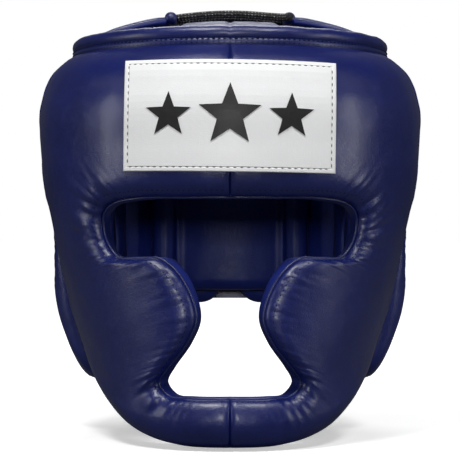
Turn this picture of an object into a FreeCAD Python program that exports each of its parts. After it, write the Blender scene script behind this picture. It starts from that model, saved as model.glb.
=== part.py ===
"""Full-face padded boxing headgear with a laced crown and a hook-and-loop rear closure.

Frame: origin at the centre of the wearer's head at eye level, -Y to the front, +Z up, in millimetres.
Left and right are the wearer's, so left is +X.
Each padded piece is a sandwich: an outer leather cover, a foam core and an inner lining, cut from the same
nested ovals, so that the layers always meet face to face.
"""

import FreeCAD, Part
import math
import os
from FreeCAD import Placement, Rotation, Vector

# name, value in millimetres, what it is
SIZES = (
    ("leather", 1.4, "thickness of covers and linings"),
    ("binding", 1.2, "thickness of the bands sewn round openings"),
    ("head_half_width", 78, "inside of the lining at the temples"),
    ("head_front", 90, "head centre to the inside of the forehead"),
    ("head_back", 98, "head centre to the inside of the back pad"),
    # heights of the section levels
    ("chin_z", -122, "lowest point of the chin bar"),
    ("jaw_z", -87, "level of the jaw"),
    ("cheek_z", -50, "level of the cheek tips"),
    ("brow_z", 45, "level of the widest section"),
    ("temple_z", 78, "level where the top edge starts to round over"),
    ("shoulder_z", 97, "level inside the rounded top edge"),
    ("rim_z", 103.6, "top of the padding"),
    # padding of the face shell at those levels, at the side and at the front
    ("chin_side", 25, "face padding"),
    ("chin_front", 29, "face padding"),
    ("jaw_side", 18, "face padding"),
    ("jaw_front", 29, "face padding"),
    ("cheek_side", 20.5, "face padding"),
    ("cheek_front", 28, "face padding"),
    ("eye_side", 29.5, "face padding"),
    ("eye_front", 29, "face padding"),
    ("brow_side", 37, "face padding"),
    ("brow_front", 30.5, "face padding"),
    ("temple_side", 36, "face padding"),
    ("temple_front", 29, "face padding"),
    ("shoulder_side", 27, "face padding"),
    ("shoulder_front", 21.5, "face padding"),
    ("rim_side", 20, "face padding"),
    ("rim_front", 14, "face padding"),
    # how much the inside narrows towards the chin
    ("chin_narrowing", 16, "inside half-width lost at the chin"),
    ("chin_set_in", 6, "inside front reach lost at the chin"),
    ("jaw_narrowing", 8, "inside half-width lost at the jaw"),
    ("jaw_set_in", 4, "inside front reach lost at the jaw"),
    ("cheek_narrowing", 2, "inside half-width lost at the cheeks"),
    ("cheek_set_in", 2, "inside front reach lost at the cheeks"),
    # face opening
    ("eye_half_width", 78.3, "eye opening, centre to corner"),
    ("eye_top", 18.2, "upper edge of the eye opening"),
    ("eye_bottom", -15.8, "lower edge of the eye opening"),
    ("eye_corner", 6, "how far the eye corner rounds in"),
    ("opening_apex", 14, "the opening's walls point at the head's axis this far in front of its centre"),
    ("nose_half_gap", 20, "half the gap between the cheek tips"),
    ("mouth_half_width", 42.6, "mouth opening, centre to corner"),
    ("mouth_corner_z", -86, "height of the mouth corner"),
    ("mouth_bottom", -94, "upper edge of the chin bar"),
    ("chin_half_width", 46, "half-width of the chin bar's foam"),
    ("temple_split", 2, "height where forehead and cheek foams meet"),
    ("foam_gap", 0.4, "slack between neighbouring foams"),
    # forehead patch
    ("patch_width", 118, "white patch along X"),
    ("patch_bottom", 32, "lower edge of the patch"),
    ("patch_top", 94, "upper edge of the patch"),
    ("patch_thickness", 1.2, "patch leather"),
    ("patch_corner", 1.5, "corner radius of the patch"),
    # rim
    ("rim_cap", 2.2, "thickness of the strip that closes the top edge"),
    ("roll_radius", 4.3, "outside radius of the rim roll"),
    ("roll_core_radius", 3.1, "radius of the foam cord in the rim roll"),
    ("roll_inset", 6.5, "roll centre inside the outer top edge"),
    ("roll_end_y", 57, "rear ends of the rim roll"),
    # ear pads
    ("ear_front", -6, "seam between the face shell and the ear pad"),
    ("ear_rear", 63, "rear edge of the ear pad"),
    ("ear_bottom", -91.5, "lowest point of the ear pad"),
    ("ear_jaw_side", 22, "ear padding at the jaw"),
    ("ear_cheek_side", 28, "ear padding at the cheek level"),
    ("ear_eye_side", 34.5, "ear padding at eye level"),
    ("ear_front_round", 14, "lower front corner radius"),
    ("ear_rear_round", 30, "lower rear corner radius"),
    ("ear_hole_y", 27, "centre of the ear hole"),
    ("ear_hole_z", -6, "centre of the ear hole"),
    ("ear_hole_half_height", 26, "ear hole"),
    ("ear_hole_half_width", 15, "ear hole"),
    # crown
    ("arch_z", 99.5, "centre height of the crown arch"),
    ("arch_overhang", 14, "outside of the crown arch, past the head's half-width"),
    ("arch_rise", 31, "height of the crown arch over its centre"),
    ("flap_thickness", 5.4, "crown flap with both skins"),
    ("flap_front", -38, "front edge of the crown flaps"),
    ("flap_rear", 50, "rear edge of the crown flaps"),
    ("flap_corner", 14, "corner radius of the crown flaps"),
    ("hem_x", 35, "hem tunnel centre, beside the lacing gap"),
    ("hem_radius", 3.4, "outside radius of the hem tunnel"),
    ("lace_radius", 2.2, "round woven lace"),
    ("lace_clearance", 0.3, "lace in its tunnel"),
    ("lace_front", -33, "first run of the lace"),
    ("lace_pitch", 17.5, "spacing of the runs of the lace"),
    ("lace_sag", 3.2, "how far the lace's runs crown upwards over the tongue"),
    ("lace_start", 4, "lace in front of the hem's front end"),
    ("lace_tail", 17, "lace behind the hem's rear end"),
    ("aglet_length", 9, "metal tip on the lace"),
    ("aglet_radius", 2.7, "outside of the metal tip"),
    ("aglet_overlap", 2, "lace inside the metal tip"),
    ("tongue_half_width", 31, "padded strip under the lacing"),
    ("tongue_thickness", 7, "tongue with both skins"),
    ("tongue_top", 121.4, "highest point of the tongue"),
    ("tongue_front_gap", 3, "inside of the forehead to the front end of the tongue"),
    ("tongue_rear_gap", 13, "inside of the back pad to the rear end of the tongue"),
    ("tongue_sink", 6, "how far the tongue's curve starts below the rim"),
    # back pad
    ("back_pad_half_width", 55, "back pad"),
    ("back_pad_bottom", -41, "lower edge of the back pad"),
    ("back_pad_top", 99, "upper edge of the back pad"),
    ("back_pad_thickness", 14, "back pad with both skins"),
    ("back_pad_corner", 10, "corner radius of the back pad"),
    ("back_channel", 37, "seam between the centre and side channels"),
    ("back_hinge_radius", 3, "rolled seam that the back pad hangs from"),
    ("back_hinge_behind", 1, "tongue to that rolled seam"),
    ("back_hinge_above", 4, "back pad to that rolled seam"),
    ("back_hinge_inset", 2, "tongue edge to the end of that rolled seam"),
    # rear wings
    ("wing_gap", 3, "air between the back pad and the wings"),
    ("wing_thickness", 12, "wing with both skins"),
    ("wing_bottom", -49, "lower edge of the wings"),
    ("wing_top", 38, "upper edge of the wings"),
    ("wing_corner", 12, "corner radius of the wings"),
    ("wing_tip", 6, "half the gap between the wings' tips"),
    ("wing_hinge_radius", 3, "rolled seam between ear pad and wing"),
    ("wing_hinge_air", 1, "air on each side of that rolled seam"),
    # closure
    ("strap_bottom", -46, "lower edge of the closure strap"),
    ("strap_top", 12, "upper edge of the closure strap"),
    ("strap_thickness", 2.4, "strap leather, doubled"),
    ("tape", 1.1, "thickness of hook tape and loop tape"),
    ("tape_air", 0.5, "hook tape to loop tape"),
    ("tape_inset", 4, "strap edge to tape edge"),
    ("strap_fold_x", 30, "where the strap folds on the left wing"),
    ("strap_base_end", 62, "end of the strap's sewn base"),
    ("strap_tip", 66, "free end of the strap, on the right wing"),
    ("strap_tab", 14, "reinforced tab at the strap's free end"),
    ("strap_tab_corner", 12, "corner radius of the tab"),
    ("strap_base_corner", 6, "corner radius of the sewn base"),
    ("fold_air", 4, "gap between the sewn base and the fold line"),
    ("fold_start", 1.6, "gap between the fold line and the free strap"),
)

doc = FreeCAD.newDocument("boxing_headgear")
sheet = doc.addObject("Spreadsheet::Sheet", "sizes")
for row, (alias, value, meaning) in enumerate(SIZES, 1):
    sheet.set(f"A{row}", str(value))
    sheet.setAlias(f"A{row}", alias)
    sheet.set(f"B{row}", meaning)
doc.recompute()

SIDES = (("left", 1), ("right", -1))
AXIS_Z = Vector(0, 0, 1)
FAR = 400  # half the size of a cutting block, beyond every surface
OVERRUN = 60  # how far the straight-sided cutting solids run past the top edge
NODES = {}


def size(name):
    """One value of the sheet, in millimetres."""
    return float(getattr(sheet, name))


def add(kind, name, **properties):
    """A document object with its properties set."""
    made = doc.addObject(kind, name)
    for key, value in properties.items():
        setattr(made, key, value)
    return made


def feature(name, shape):
    """A shape made with Part's own functions, as a document object."""
    return add("Part::Feature", name, Shape=shape)


def node(name, made):
    """Registers a finished sub-part under the name of its file."""
    made.Label = name
    NODES[name] = made
    return made


def cut(name, base, tool):
    return add("Part::Cut", name, Base=base, Tool=tool)


def common(name, *shapes):
    return add("Part::MultiCommon", name, Shapes=list(shapes))


def block(name, low=(None, None, None), high=(None, None, None)):
    """A cutting block. Each bound is an expression of the sheet's names, or None for no bound."""
    made = doc.addObject("Part::Box", name)
    for axis, side, a, b in zip("xyz", ("Length", "Width", "Height"), low, high):
        start = f"-{FAR}" if a is None else f"({a})"
        end = f"{FAR}" if b is None else f"({b})"
        made.setExpression(f"Placement.Base.{axis}", start)
        made.setExpression(side, f"{end} - {start}")
    return made


def bound(expression):
    """Turns plain size names into references to the sheet."""
    for alias in sorted((s[0] for s in SIZES), key=len, reverse=True):
        expression = expression.replace(f"${alias}$", f"sizes.{alias}")
    return expression


def slab(name, x=(None, None), y=(None, None), z=(None, None)):
    """A block between pairs of bounds along X, Y and Z, written with $size$ names."""
    pairs = [[None if v is None else bound(v) for v in pair] for pair in (x, y, z)]
    return block(name, [p[0] for p in pairs], [p[1] for p in pairs])


# ---- nested ovals ---------------------------------------------------------------------------

CENTRE_Y = "((sizes.head_back - sizes.head_front) / 2)"


def number(expression):
    """The value of an expression of the sheet's names, in millimetres."""
    return float(sheet.evalExpression(expression))


def oval(name, half_width, front_reach, z):
    """An ellipse round the head: half_width to the side, front_reach from the head centre forward."""
    half_depth = f"({front_reach} + {CENTRE_Y})"
    made = doc.addObject("Part::Ellipse", name)
    made.setExpression("MajorRadius", f"max({half_width}; {half_depth})")
    made.setExpression("MinorRadius", f"min({half_width}; {half_depth})")
    turned = number(half_depth) >= number(half_width)
    made.Placement = Placement(Vector(), Rotation(AXIS_Z, 90 if turned else 0))
    made.setExpression("Placement.Base.y", CENTRE_Y)
    made.setExpression("Placement.Base.z", z)
    return made


LEVELS = ("chin", "jaw", "cheek", "eye", "brow", "temple", "shoulder", "rim")
NARROWER = ("chin", "jaw", "cheek")


def level_z(level):
    return "0" if level == "eye" else f"sizes.{level}_z"


def inside(level):
    """(half-width, front reach) of the lining's inner face at a level, as expressions."""
    if level in NARROWER:
        return (
            f"(sizes.head_half_width - sizes.{level}_narrowing)",
            f"(sizes.head_front - sizes.{level}_set_in)",
        )
    return "sizes.head_half_width", "sizes.head_front"


def face_outside(level):
    """The same for the face shell's outer face."""
    half_width, reach = inside(level)
    return f"({half_width} + sizes.{level}_side)", f"({reach} + sizes.{level}_front)"


def ear_outside(level):
    """The same for the ear pads, which stand out further at eye and jaw level."""
    half_width, reach = inside(level)
    side = f"ear_{level}_side" if level in ("jaw", "cheek", "eye") else f"{level}_side"
    return f"({half_width} + sizes.{side})", f"({reach} + sizes.{level}_front)"


def barrel(name, profile, offset):
    """A solid lofted through one oval per level, grown outwards by offset."""
    sections = []
    for level in LEVELS:
        half_width, reach = profile(level)
        sections.append(
            oval(f"{name}_{level}", f"({half_width} + {offset})", f"({reach} + {offset})", level_z(level))
        )
    return add("Part::Loft", name, Sections=sections, Solid=True, Ruled=False)


def drum(name, grow):
    """A straight-sided solid round the head, grow outside the head's own oval."""
    half_width = f"(sizes.head_half_width + {grow})"
    section = oval(name + "_oval", half_width, f"(sizes.head_front + {grow})", "sizes.chin_z")
    made = add("Part::Extrusion", name, Base=section, DirMode="Custom", Dir=AXIS_Z, Solid=True)
    made.setExpression("LengthFwd", f"sizes.rim_z - sizes.chin_z + {OVERRUN}")
    return made


face_out = barrel("face_out", face_outside, "0")
face_under_cover = barrel("face_under_cover", face_outside, "-sizes.leather")
ear_out = barrel("ear_out", ear_outside, "0")
ear_under_cover = barrel("ear_under_cover", ear_outside, "-sizes.leather")
lining_out = barrel("lining_out", inside, "sizes.leather")
lining_in = barrel("lining_in", inside, "0")


# ---- outlines -------------------------------------------------------------------------------


def prism(name, wire, direction):
    """A cutting solid: a closed flat wire pushed along direction from behind the part to past it."""
    moved = wire.copy()
    moved.translate(direction * -FAR)
    section = feature(name + "_outline", moved)
    return add("Part::Extrusion", name, Base=section, Dir=direction * 2 * FAR, Solid=True)


def face_depth(x, z):
    """How far the face shell's outer face is in front of the head centre at (x, z)."""
    above = [number(level_z(level)) for level in LEVELS]
    k = max(i for i in range(len(LEVELS) - 1) if above[i] <= z)
    share = (z - above[k]) / (above[k + 1] - above[k])
    low = [number(e) for e in face_outside(LEVELS[k])]
    high = [number(e) for e in face_outside(LEVELS[k + 1])]
    half_width, reach = [u + (v - u) * share for u, v in zip(low, high)]
    half_depth = reach + number(CENTRE_Y)
    return half_depth * math.sqrt(1 - (x / half_width) ** 2) - number(CENTRE_Y)


def opening_points():
    """The face opening seen from the front: eye slot, gap between the cheek tips and mouth slot."""
    eye = size("eye_half_width")
    top = size("eye_top")
    bottom = size("eye_bottom")
    corner = size("eye_corner")
    gap = size("nose_half_gap")
    tip = size("cheek_z")
    mouth = size("mouth_half_width")
    mouth_z = size("mouth_corner_z")
    floor = size("mouth_bottom")
    slot_end = gap + (eye - gap) * 0.36  # where the slot's lower edge turns down to the cheek tip
    half = [
        (eye * 0.35, top),
        (eye * 0.7, top - 0.3),
        (eye - corner, top - 3.7),
        (eye - 0.5, top - 10),
        (eye - 2, (top + bottom) / 2 - 6),
        (eye - 10, bottom + 0.6),
        (slot_end + (eye - 10 - slot_end) * 0.487, bottom),
        (slot_end, bottom - 0.8),
        (gap + 7.5, bottom - 13),
        (gap, tip + 1),
        (gap + 5.5, tip - 13),
        (mouth - 5, mouth_z + 8),
        (mouth, mouth_z),
        (mouth - 6, floor + 1),
        (mouth - 18, floor),
    ]
    points = [Vector(0, 0, top)]
    points += [Vector(x, 0, z) for x, z in half]
    points += [Vector(0, 0, floor)]
    points += [Vector(-x, 0, z) for x, z in reversed(half)]
    return points


def closed_curve(points):
    curve = Part.BSplineCurve()
    curve.interpolate(Points=points, PeriodicFlag=True)
    return curve


OPENING_PIECES = 8  # smooth edges that the outline is made of
PIECE_STEPS = 10
OPENING_START = 0.013  # of the way round, which keeps the edges' ends off the middle plane
FAN_FRONT = 160  # the fan-shaped cut starts here, in front of the shell
FAN_BACK = 20  # and ends here, inside the head


def fan_point(outline, share, grow):
    """A point of the fan's front face, that share of the way round the opening's outline."""
    apex = size("opening_apex")
    at = outline.FirstParameter + (outline.LastParameter - outline.FirstParameter) * (share % 1)
    along = outline.tangent(at)[0]
    point = outline.value(at) + Vector(-along.z, 0, along.x) * grow
    spread = point.x / (face_depth(point.x, point.z) - apex)
    return Vector(spread * (FAN_FRONT - apex), -FAN_FRONT, point.z)


def opening_solid(name, grow):
    """The opening's walls run towards the head's axis, so the cut is a fan that narrows backwards."""
    outline = closed_curve(opening_points())
    squeeze = (FAN_BACK - size("opening_apex")) / (FAN_FRONT - size("opening_apex"))
    steps = OPENING_PIECES * PIECE_STEPS
    ring = [fan_point(outline, k / steps + OPENING_START, grow) for k in range(steps)]
    slopes = [ring[(k + 1) % steps] - ring[k - 1] for k in range(steps)]
    front = []
    back = []
    for first in range(0, steps, PIECE_STEPS):
        last = (first + PIECE_STEPS) % steps
        points = [ring[k % steps] for k in range(first, first + PIECE_STEPS + 1)]
        curve = Part.BSplineCurve()
        curve.interpolate(Points=points, InitialTangent=slopes[first], FinalTangent=slopes[last])
        poles = [Vector(pole.x * squeeze, -FAN_BACK, pole.z) for pole in curve.getPoles()]
        inner = Part.BSplineCurve()
        knots = (curve.getMultiplicities(), curve.getKnots())
        inner.buildFromPolesMultsKnots(poles, *knots, False, curve.Degree)
        front.append(curve.toShape())
        back.append(inner.toShape())
    walls = [Part.makeRuledSurface(outer, inner) for outer, inner in zip(front, back)]
    caps = [Part.Face(Part.Wire(edges)) for edges in (front, back)]
    shell = Part.makeShell(walls + caps)
    shell.sewShape()
    return feature(name, Part.Solid(shell))


def jaw_wire():
    """The face shell's lower outline seen from the front, closed far above."""
    chin = size("chin_z")
    jaw = size("jaw_z")
    width = size("head_half_width") - size("jaw_narrowing")
    half = [
        (31, chin + 0.6),
        (49, chin + 3.4),
        (width - 7, chin + 9),
        (width + 5, chin + 20),
        (width + 14, jaw),
        (width + 22, jaw + 20),
        (width + 38, jaw + 50),
        (width + 62, jaw + 84),
    ]
    points = [Vector(-x, 0, z) for x, z in reversed(half)]
    points += [Vector(0, 0, chin)]
    points += [Vector(x, 0, z) for x, z in half]
    curve = Part.BSplineCurve()
    curve.interpolate(Points=points)
    first = points[0]
    last = points[-1]
    top_left = Vector(first.x, 0, FAR)
    top_right = Vector(last.x, 0, FAR)
    sides = [
        Part.LineSegment(last, top_right).toShape(),
        Part.LineSegment(top_right, top_left).toShape(),
        Part.LineSegment(top_left, first).toShape(),
    ]
    return Part.Wire([curve.toShape()] + sides)


def rounded_wire(low, high, radii, place):
    """A rectangle whose corners, anticlockwise from (low, low), have their own radii.

    place(u, v) is the point in space of a point of the plan.
    """
    (u0, v0), (u1, v1) = low, high
    corners = ((u0, v0), (u1, v0), (u1, v1), (u0, v1))
    inward = ((1, 1), (-1, 1), (-1, -1), (1, -1))
    edges = []
    ends = []
    corner_slack = 1 - math.sqrt(0.5)
    for k, ((u, v), (du, dv), radius) in enumerate(zip(corners, inward, radii)):
        side_first = k % 2 == 0
        a = (u, v + dv * radius) if side_first else (u + du * radius, v)
        b = (u + du * radius, v) if side_first else (u, v + dv * radius)
        slack = radius * corner_slack
        middle = (u + du * slack, v + dv * slack)
        ends.append((place(*a), place(*b)))
        if radius > 0:
            edges.append(Part.Arc(place(*a), place(*middle), place(*b)).toShape())
    for k in range(4):
        start = ends[k][1]
        end = ends[(k + 1) % 4][0]
        if start.distanceToPoint(end) > 1e-6:
            edges.append(Part.LineSegment(start, end).toShape())
    return Part.Wire(Part.__sortEdges__(edges))


ALONG_X = Vector(1, 0, 0)
ALONG_Y = Vector(0, 1, 0)

opening = opening_solid("opening", 0)
opening_grown = opening_solid("opening_grown", size("binding"))
jaw_window = prism("jaw_window", jaw_wire(), ALONG_Y)
before_ears = slab("before_ears", y=(None, "$ear_front$"))
left_half = slab("left_half", x=("0", None))
right_half = slab("right_half", x=(None, "0"))
HALVES = {"left": left_half, "right": right_half}

# ---- face shell -----------------------------------------------------------------------------

face_window = common("face_window", jaw_window, before_ears)
cover_layer = cut("cover_layer", face_out, face_under_cover)
foam_layer = cut("foam_layer", face_under_cover, lining_out)
lining_layer = cut("lining_layer", lining_out, lining_in)
whole_layer = cut("whole_layer", face_out, lining_in)


def face_piece(name, layer, *limits):
    """A layer of the face shell inside its outline, less the opening and its binding."""
    shaped = common(name + "_shaped", layer, face_window, *limits)
    return node(name, cut(name, shaped, opening_grown))


for side, sign in SIDES:
    face_piece(f"face_cover_{side}", cover_layer, HALVES[side])
face_piece("face_lining", lining_layer)
face_piece("forehead_foam", foam_layer, slab("forehead_zone", z=("$temple_split$", None)))
chin_zone = slab(
    "chin_zone",
    x=("-$chin_half_width$", "$chin_half_width$"),
    z=(None, "$mouth_corner_z$"),
)
face_piece("chin_foam", foam_layer, chin_zone)
chin_clear = slab(
    "chin_clear",
    x=("-$chin_half_width$ - $foam_gap$", "$chin_half_width$ + $foam_gap$"),
    z=(None, "$mouth_corner_z$ + $foam_gap$"),
)
below_temple = slab("below_temple", z=(None, "$temple_split$ - $foam_gap$"))
for side, sign in SIDES:
    cheek_zone = cut(
        f"cheek_zone_{side}",
        common(f"cheek_side_{side}", below_temple, HALVES[side]),
        chin_clear,
    )
    face_piece(f"cheek_foam_{side}", foam_layer, cheek_zone)
edge = common("opening_edge", whole_layer, opening_grown)
node("opening_binding", cut("opening_binding", edge, opening))

patch_half = size("patch_width") / 2
patch_wire = rounded_wire(
    (-patch_half, size("patch_bottom")),
    (patch_half, size("patch_top")),
    [size("patch_corner")] * 4,
    lambda u, v: Vector(u, 0, v),
)
patch_out = barrel("patch_out", face_outside, "sizes.patch_thickness")
patch_layer = cut("patch_layer", patch_out, face_out)
patch_window = prism("patch_window", patch_wire, ALONG_Y)
in_front = slab("in_front", y=(None, "0"))
node("forehead_patch", common("forehead_patch", patch_layer, patch_window, in_front))

# ---- ear pads -------------------------------------------------------------------------------

ear_wire = rounded_wire(
    (size("ear_front"), size("ear_bottom")),
    (size("ear_rear"), size("rim_z")),
    (size("ear_front_round"), size("ear_rear_round"), 0, 0),
    lambda u, v: Vector(0, u, v),
)
ear_window = prism("ear_window", ear_wire, ALONG_X)


def ear_hole(name, grow):
    """The oval ear hole, grown by the binding where the pad is cut."""
    section = doc.addObject("Part::Ellipse", name + "_oval")
    section.setExpression("MajorRadius", f"sizes.ear_hole_half_height + {grow}")
    section.setExpression("MinorRadius", f"sizes.ear_hole_half_width + {grow}")
    section.Placement = Placement(Vector(), Rotation(ALONG_Y, 90))
    section.setExpression("Placement.Base.x", f"-{FAR}")
    section.setExpression("Placement.Base.y", "sizes.ear_hole_y")
    section.setExpression("Placement.Base.z", "sizes.ear_hole_z")
    return add("Part::Extrusion", name, Base=section, Dir=ALONG_X * 2 * FAR, Solid=True)


hole = ear_hole("ear_hole", "0")
hole_grown = ear_hole("ear_hole_grown", "sizes.binding")
hole_band = cut("hole_band", hole_grown, hole)
EAR_LAYERS = (
    ("ear_cover", cut("ear_cover_layer", ear_out, ear_under_cover)),
    ("ear_foam", cut("ear_foam_layer", ear_under_cover, lining_out)),
    ("ear_lining", lining_layer),
)
ear_whole = cut("ear_whole", ear_out, lining_in)
for side, sign in SIDES:
    for layer_name, layer in EAR_LAYERS:
        name = f"{layer_name}_{side}"
        shaped = common(name + "_shaped", layer, ear_window, HALVES[side])
        node(name, cut(name, shaped, hole_grown))
    name = f"ear_hole_binding_{side}"
    node(name, common(name, ear_whole, hole_band, HALVES[side]))

# ---- rim ------------------------------------------------------------------------------------

rim_half_width, rim_reach = [number(e) for e in face_outside("rim")]
before_rear = slab("before_rear", y=(None, "$ear_rear$"))


def plate(name, profile):
    """An oval plate on the top edge, as thick as its closing strip."""
    section = oval(name + "_oval", *profile("rim"), "sizes.rim_z")
    made = add("Part::Extrusion", name, Base=section, DirMode="Custom", Dir=AXIS_Z, Solid=True)
    made.setExpression("LengthFwd", "sizes.rim_cap")
    return made


cap_ring = cut("cap_ring", plate("cap_outside", face_outside), plate("cap_inside", inside))
node("rim_binding", common("rim_binding", cap_ring, before_rear))

roll_half_width = rim_half_width - size("roll_inset")
roll_reach = rim_reach - size("roll_inset")
roll_z = size("rim_z") + size("rim_cap") + size("roll_radius")
ROLL_POINTS = 21
CENTRE = number(CENTRE_Y)


def roll_path():
    """The rim roll's centre line, from one rear end round the forehead to the other."""
    half_depth = roll_reach + CENTRE
    end = math.acos(-(size("roll_end_y") - CENTRE) / half_depth)
    points = []
    for k in range(ROLL_POINTS):
        turn = end * (2 * k / (ROLL_POINTS - 1) - 1)
        x = roll_half_width * math.sin(turn)
        points.append(Vector(x, CENTRE - half_depth * math.cos(turn), roll_z))
    curve = Part.BSplineCurve()
    curve.interpolate(Points=points)
    return curve


def along(curve, radius):
    """A round rod of that radius along a curve."""
    start = curve.value(curve.FirstParameter)
    direction = curve.tangent(curve.FirstParameter)[0]
    ring = Part.Wire([Part.Circle(start, direction, radius).toShape()])
    path = Part.Wire([curve.toShape()])
    return path.makePipeShell([ring], True, True)


roll_line = roll_path()
roll_rod = feature("roll_rod", along(roll_line, size("roll_radius")))
core_rod = feature("core_rod", along(roll_line, size("roll_core_radius")))
node("rim_roll_core", core_rod)
node("rim_roll", cut("rim_roll", roll_rod, core_rod))

# ---- crown flaps, hems, tongue --------------------------------------------------------------


ARCH_HALF_WIDTH = "(sizes.head_half_width + sizes.arch_overhang)"
arch_half_width = number(ARCH_HALF_WIDTH)


def arch(name, shrink):
    """A solid under the crown arch: half an oval in the XZ plane, run along Y."""
    section = doc.addObject("Part::Ellipse", name + "_oval")
    section.setExpression("MajorRadius", f"{ARCH_HALF_WIDTH} - {shrink}")
    section.setExpression("MinorRadius", f"sizes.arch_rise - {shrink}")
    section.Placement = Placement(Vector(), Rotation(ALONG_X, 90))
    section.setExpression("Placement.Base.y", "sizes.flap_front")
    section.setExpression("Placement.Base.z", "sizes.arch_z")
    made = add("Part::Extrusion", name, Base=section, DirMode="Custom", Dir=ALONG_Y, Solid=True)
    made.setExpression("LengthFwd", "sizes.flap_rear - sizes.flap_front")
    return made


flap_thickness = size("flap_thickness")
FLAP_DEPTHS = ("0", "sizes.leather", "(sizes.flap_thickness - sizes.leather)", "sizes.flap_thickness")
arch_solids = [arch(f"arch_{k}", shrink) for k, shrink in enumerate(FLAP_DEPTHS)]
FLAP_LAYERS = (
    ("crown_flap", cut("flap_cover_layer", arch_solids[0], arch_solids[1])),
    ("crown_flap_foam", cut("flap_foam_layer", arch_solids[1], arch_solids[2])),
    ("crown_flap_lining", cut("flap_lining_layer", arch_solids[2], arch_solids[3])),
)
inner_roll = "sizes.roll_inset - sizes.roll_radius - sizes.foam_gap"
inner_sizes = [f"({extent} - {inner_roll})" for extent in face_outside("rim")]
inside_roll_oval = oval("inside_roll_oval", *inner_sizes, "sizes.rim_z + sizes.rim_cap")
inside_roll = add("Part::Extrusion", "inside_roll", Base=inside_roll_oval, Dir=AXIS_Z * FAR, Solid=True)
corner = size("flap_corner")
hem_z = size("arch_z") + (size("arch_rise") - flap_thickness / 2) * math.sqrt(
    1 - (size("hem_x") / (arch_half_width - flap_thickness / 2)) ** 2
)
hem_length = size("flap_rear") - size("flap_front")
tunnel_radius = size("lace_radius") + size("lace_clearance")
RUNS = 5


def rod(name, start, direction, radius, length):
    """A straight round rod."""
    return feature(name, Part.makeCylinder(radius, length, start, direction))


for side, sign in SIDES:
    plan = rounded_wire(
        (size("hem_x"), size("flap_front")),
        (FAR, size("flap_rear")),
        (0, corner * 2, corner * 2, 0),
        lambda u, v: Vector(sign * u, v, 0),
    )
    plan_window = prism(f"flap_plan_{side}", plan, AXIS_Z)
    hem_start = Vector(sign * size("hem_x"), size("flap_front"), hem_z)
    hem_rod = rod(f"hem_rod_{side}", hem_start, ALONG_Y, size("hem_radius"), hem_length)
    for layer_name, layer in FLAP_LAYERS:
        name = f"{layer_name}_{side}"
        shaped = common(name + "_shaped", layer, plan_window, inside_roll)
        node(name, cut(name, shaped, hem_rod))
    tunnel = rod(f"hem_tunnel_{side}", hem_start, ALONG_Y, tunnel_radius, hem_length)
    hem = cut(f"hem_tube_{side}", hem_rod, tunnel)
    slot_length = 6 * size("lace_radius")
    slots = []
    for run in range(RUNS):
        y = size("lace_front") + run * size("lace_pitch")
        low_x = min(0, sign * size("hem_x"))
        slot_box = Part.makeBox(
            size("hem_x"),
            slot_length,
            2 * tunnel_radius,
            Vector(low_x, y - slot_length / 2, hem_z - tunnel_radius),
        )
        slots.append(slot_box)
    slot_group = feature(f"hem_slots_{side}", Part.makeCompound(slots))
    node(f"crown_hem_{side}", cut(f"crown_hem_{side}", hem, slot_group))

TONGUE_POWER = 3.0
TONGUE_POINTS = 15
tongue_front = size("tongue_front_gap") - size("head_front")
tongue_rear = size("head_back") - size("tongue_rear_gap")
tongue_middle = (tongue_front + tongue_rear) / 2
tongue_half_length = (tongue_rear - tongue_front) / 2
tongue_start = size("rim_z") + size("rim_cap") - size("tongue_sink")


def tongue_line(inset):
    """The tongue's top line, or one inset below it, from the forehead to the back."""
    half_length = tongue_half_length - inset
    rise = size("tongue_top") - tongue_start - inset
    points = []
    for k in range(TONGUE_POINTS):
        turn = math.pi * (k / (TONGUE_POINTS - 1) - 0.5)
        c = math.cos(turn)
        s = math.sin(turn)
        y = tongue_middle + half_length * math.copysign(abs(s) ** (2 / TONGUE_POWER), s)
        z = tongue_start + rise * max(c, 0) ** (2 / TONGUE_POWER)
        points.append(Vector(-size("tongue_half_width"), y, z))
    curve = Part.BSplineCurve()
    curve.interpolate(Points=points)
    return curve, points


def under_tongue(name, inset):
    """A solid under that line, as wide as the tongue."""
    curve, points = tongue_line(inset)
    base = Part.LineSegment(points[-1], points[0]).toShape()
    section = feature(name + "_profile", Part.Wire([curve.toShape(), base]))
    width = 2 * size("tongue_half_width")
    return add("Part::Extrusion", name, Base=section, Dir=ALONG_X * width, Solid=True)


leather = size("leather")
tongue_insets = (0, leather, size("tongue_thickness") - leather, size("tongue_thickness"))
tongue_solids = [under_tongue(f"under_tongue_{k}", inset) for k, inset in enumerate(tongue_insets)]
TONGUE_NODES = ("crown_tongue", "crown_tongue_foam", "crown_tongue_lining")
above_rim = slab("above_rim", z=("$rim_z$ + $rim_cap$", None))
for k, name in enumerate(TONGUE_NODES):
    layer = cut(name + "_layer", tongue_solids[k], tongue_solids[k + 1])
    node(name, common(name, layer, inside_roll, above_rim))

# ---- lace -----------------------------------------------------------------------------------

bend = 2 * size("lace_radius")


def lace_points():
    """The lace's corners: from the left hem's closed front end, to and fro, to its tail behind a hem."""
    x = size("hem_x")
    points = [Vector(x, size("flap_front") - size("lace_start"), hem_z)]
    for run in range(RUNS):
        y = size("lace_front") + run * size("lace_pitch")
        go = 1 if run % 2 == 0 else -1
        points.append(Vector(go * x, y, hem_z))
        points.append(Vector(0, y, hem_z + size("lace_sag")))
        points.append(Vector(-go * x, y, hem_z))
    last = points[-1]
    points.append(Vector(last.x, size("flap_rear") + size("lace_tail"), hem_z))
    return points


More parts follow.
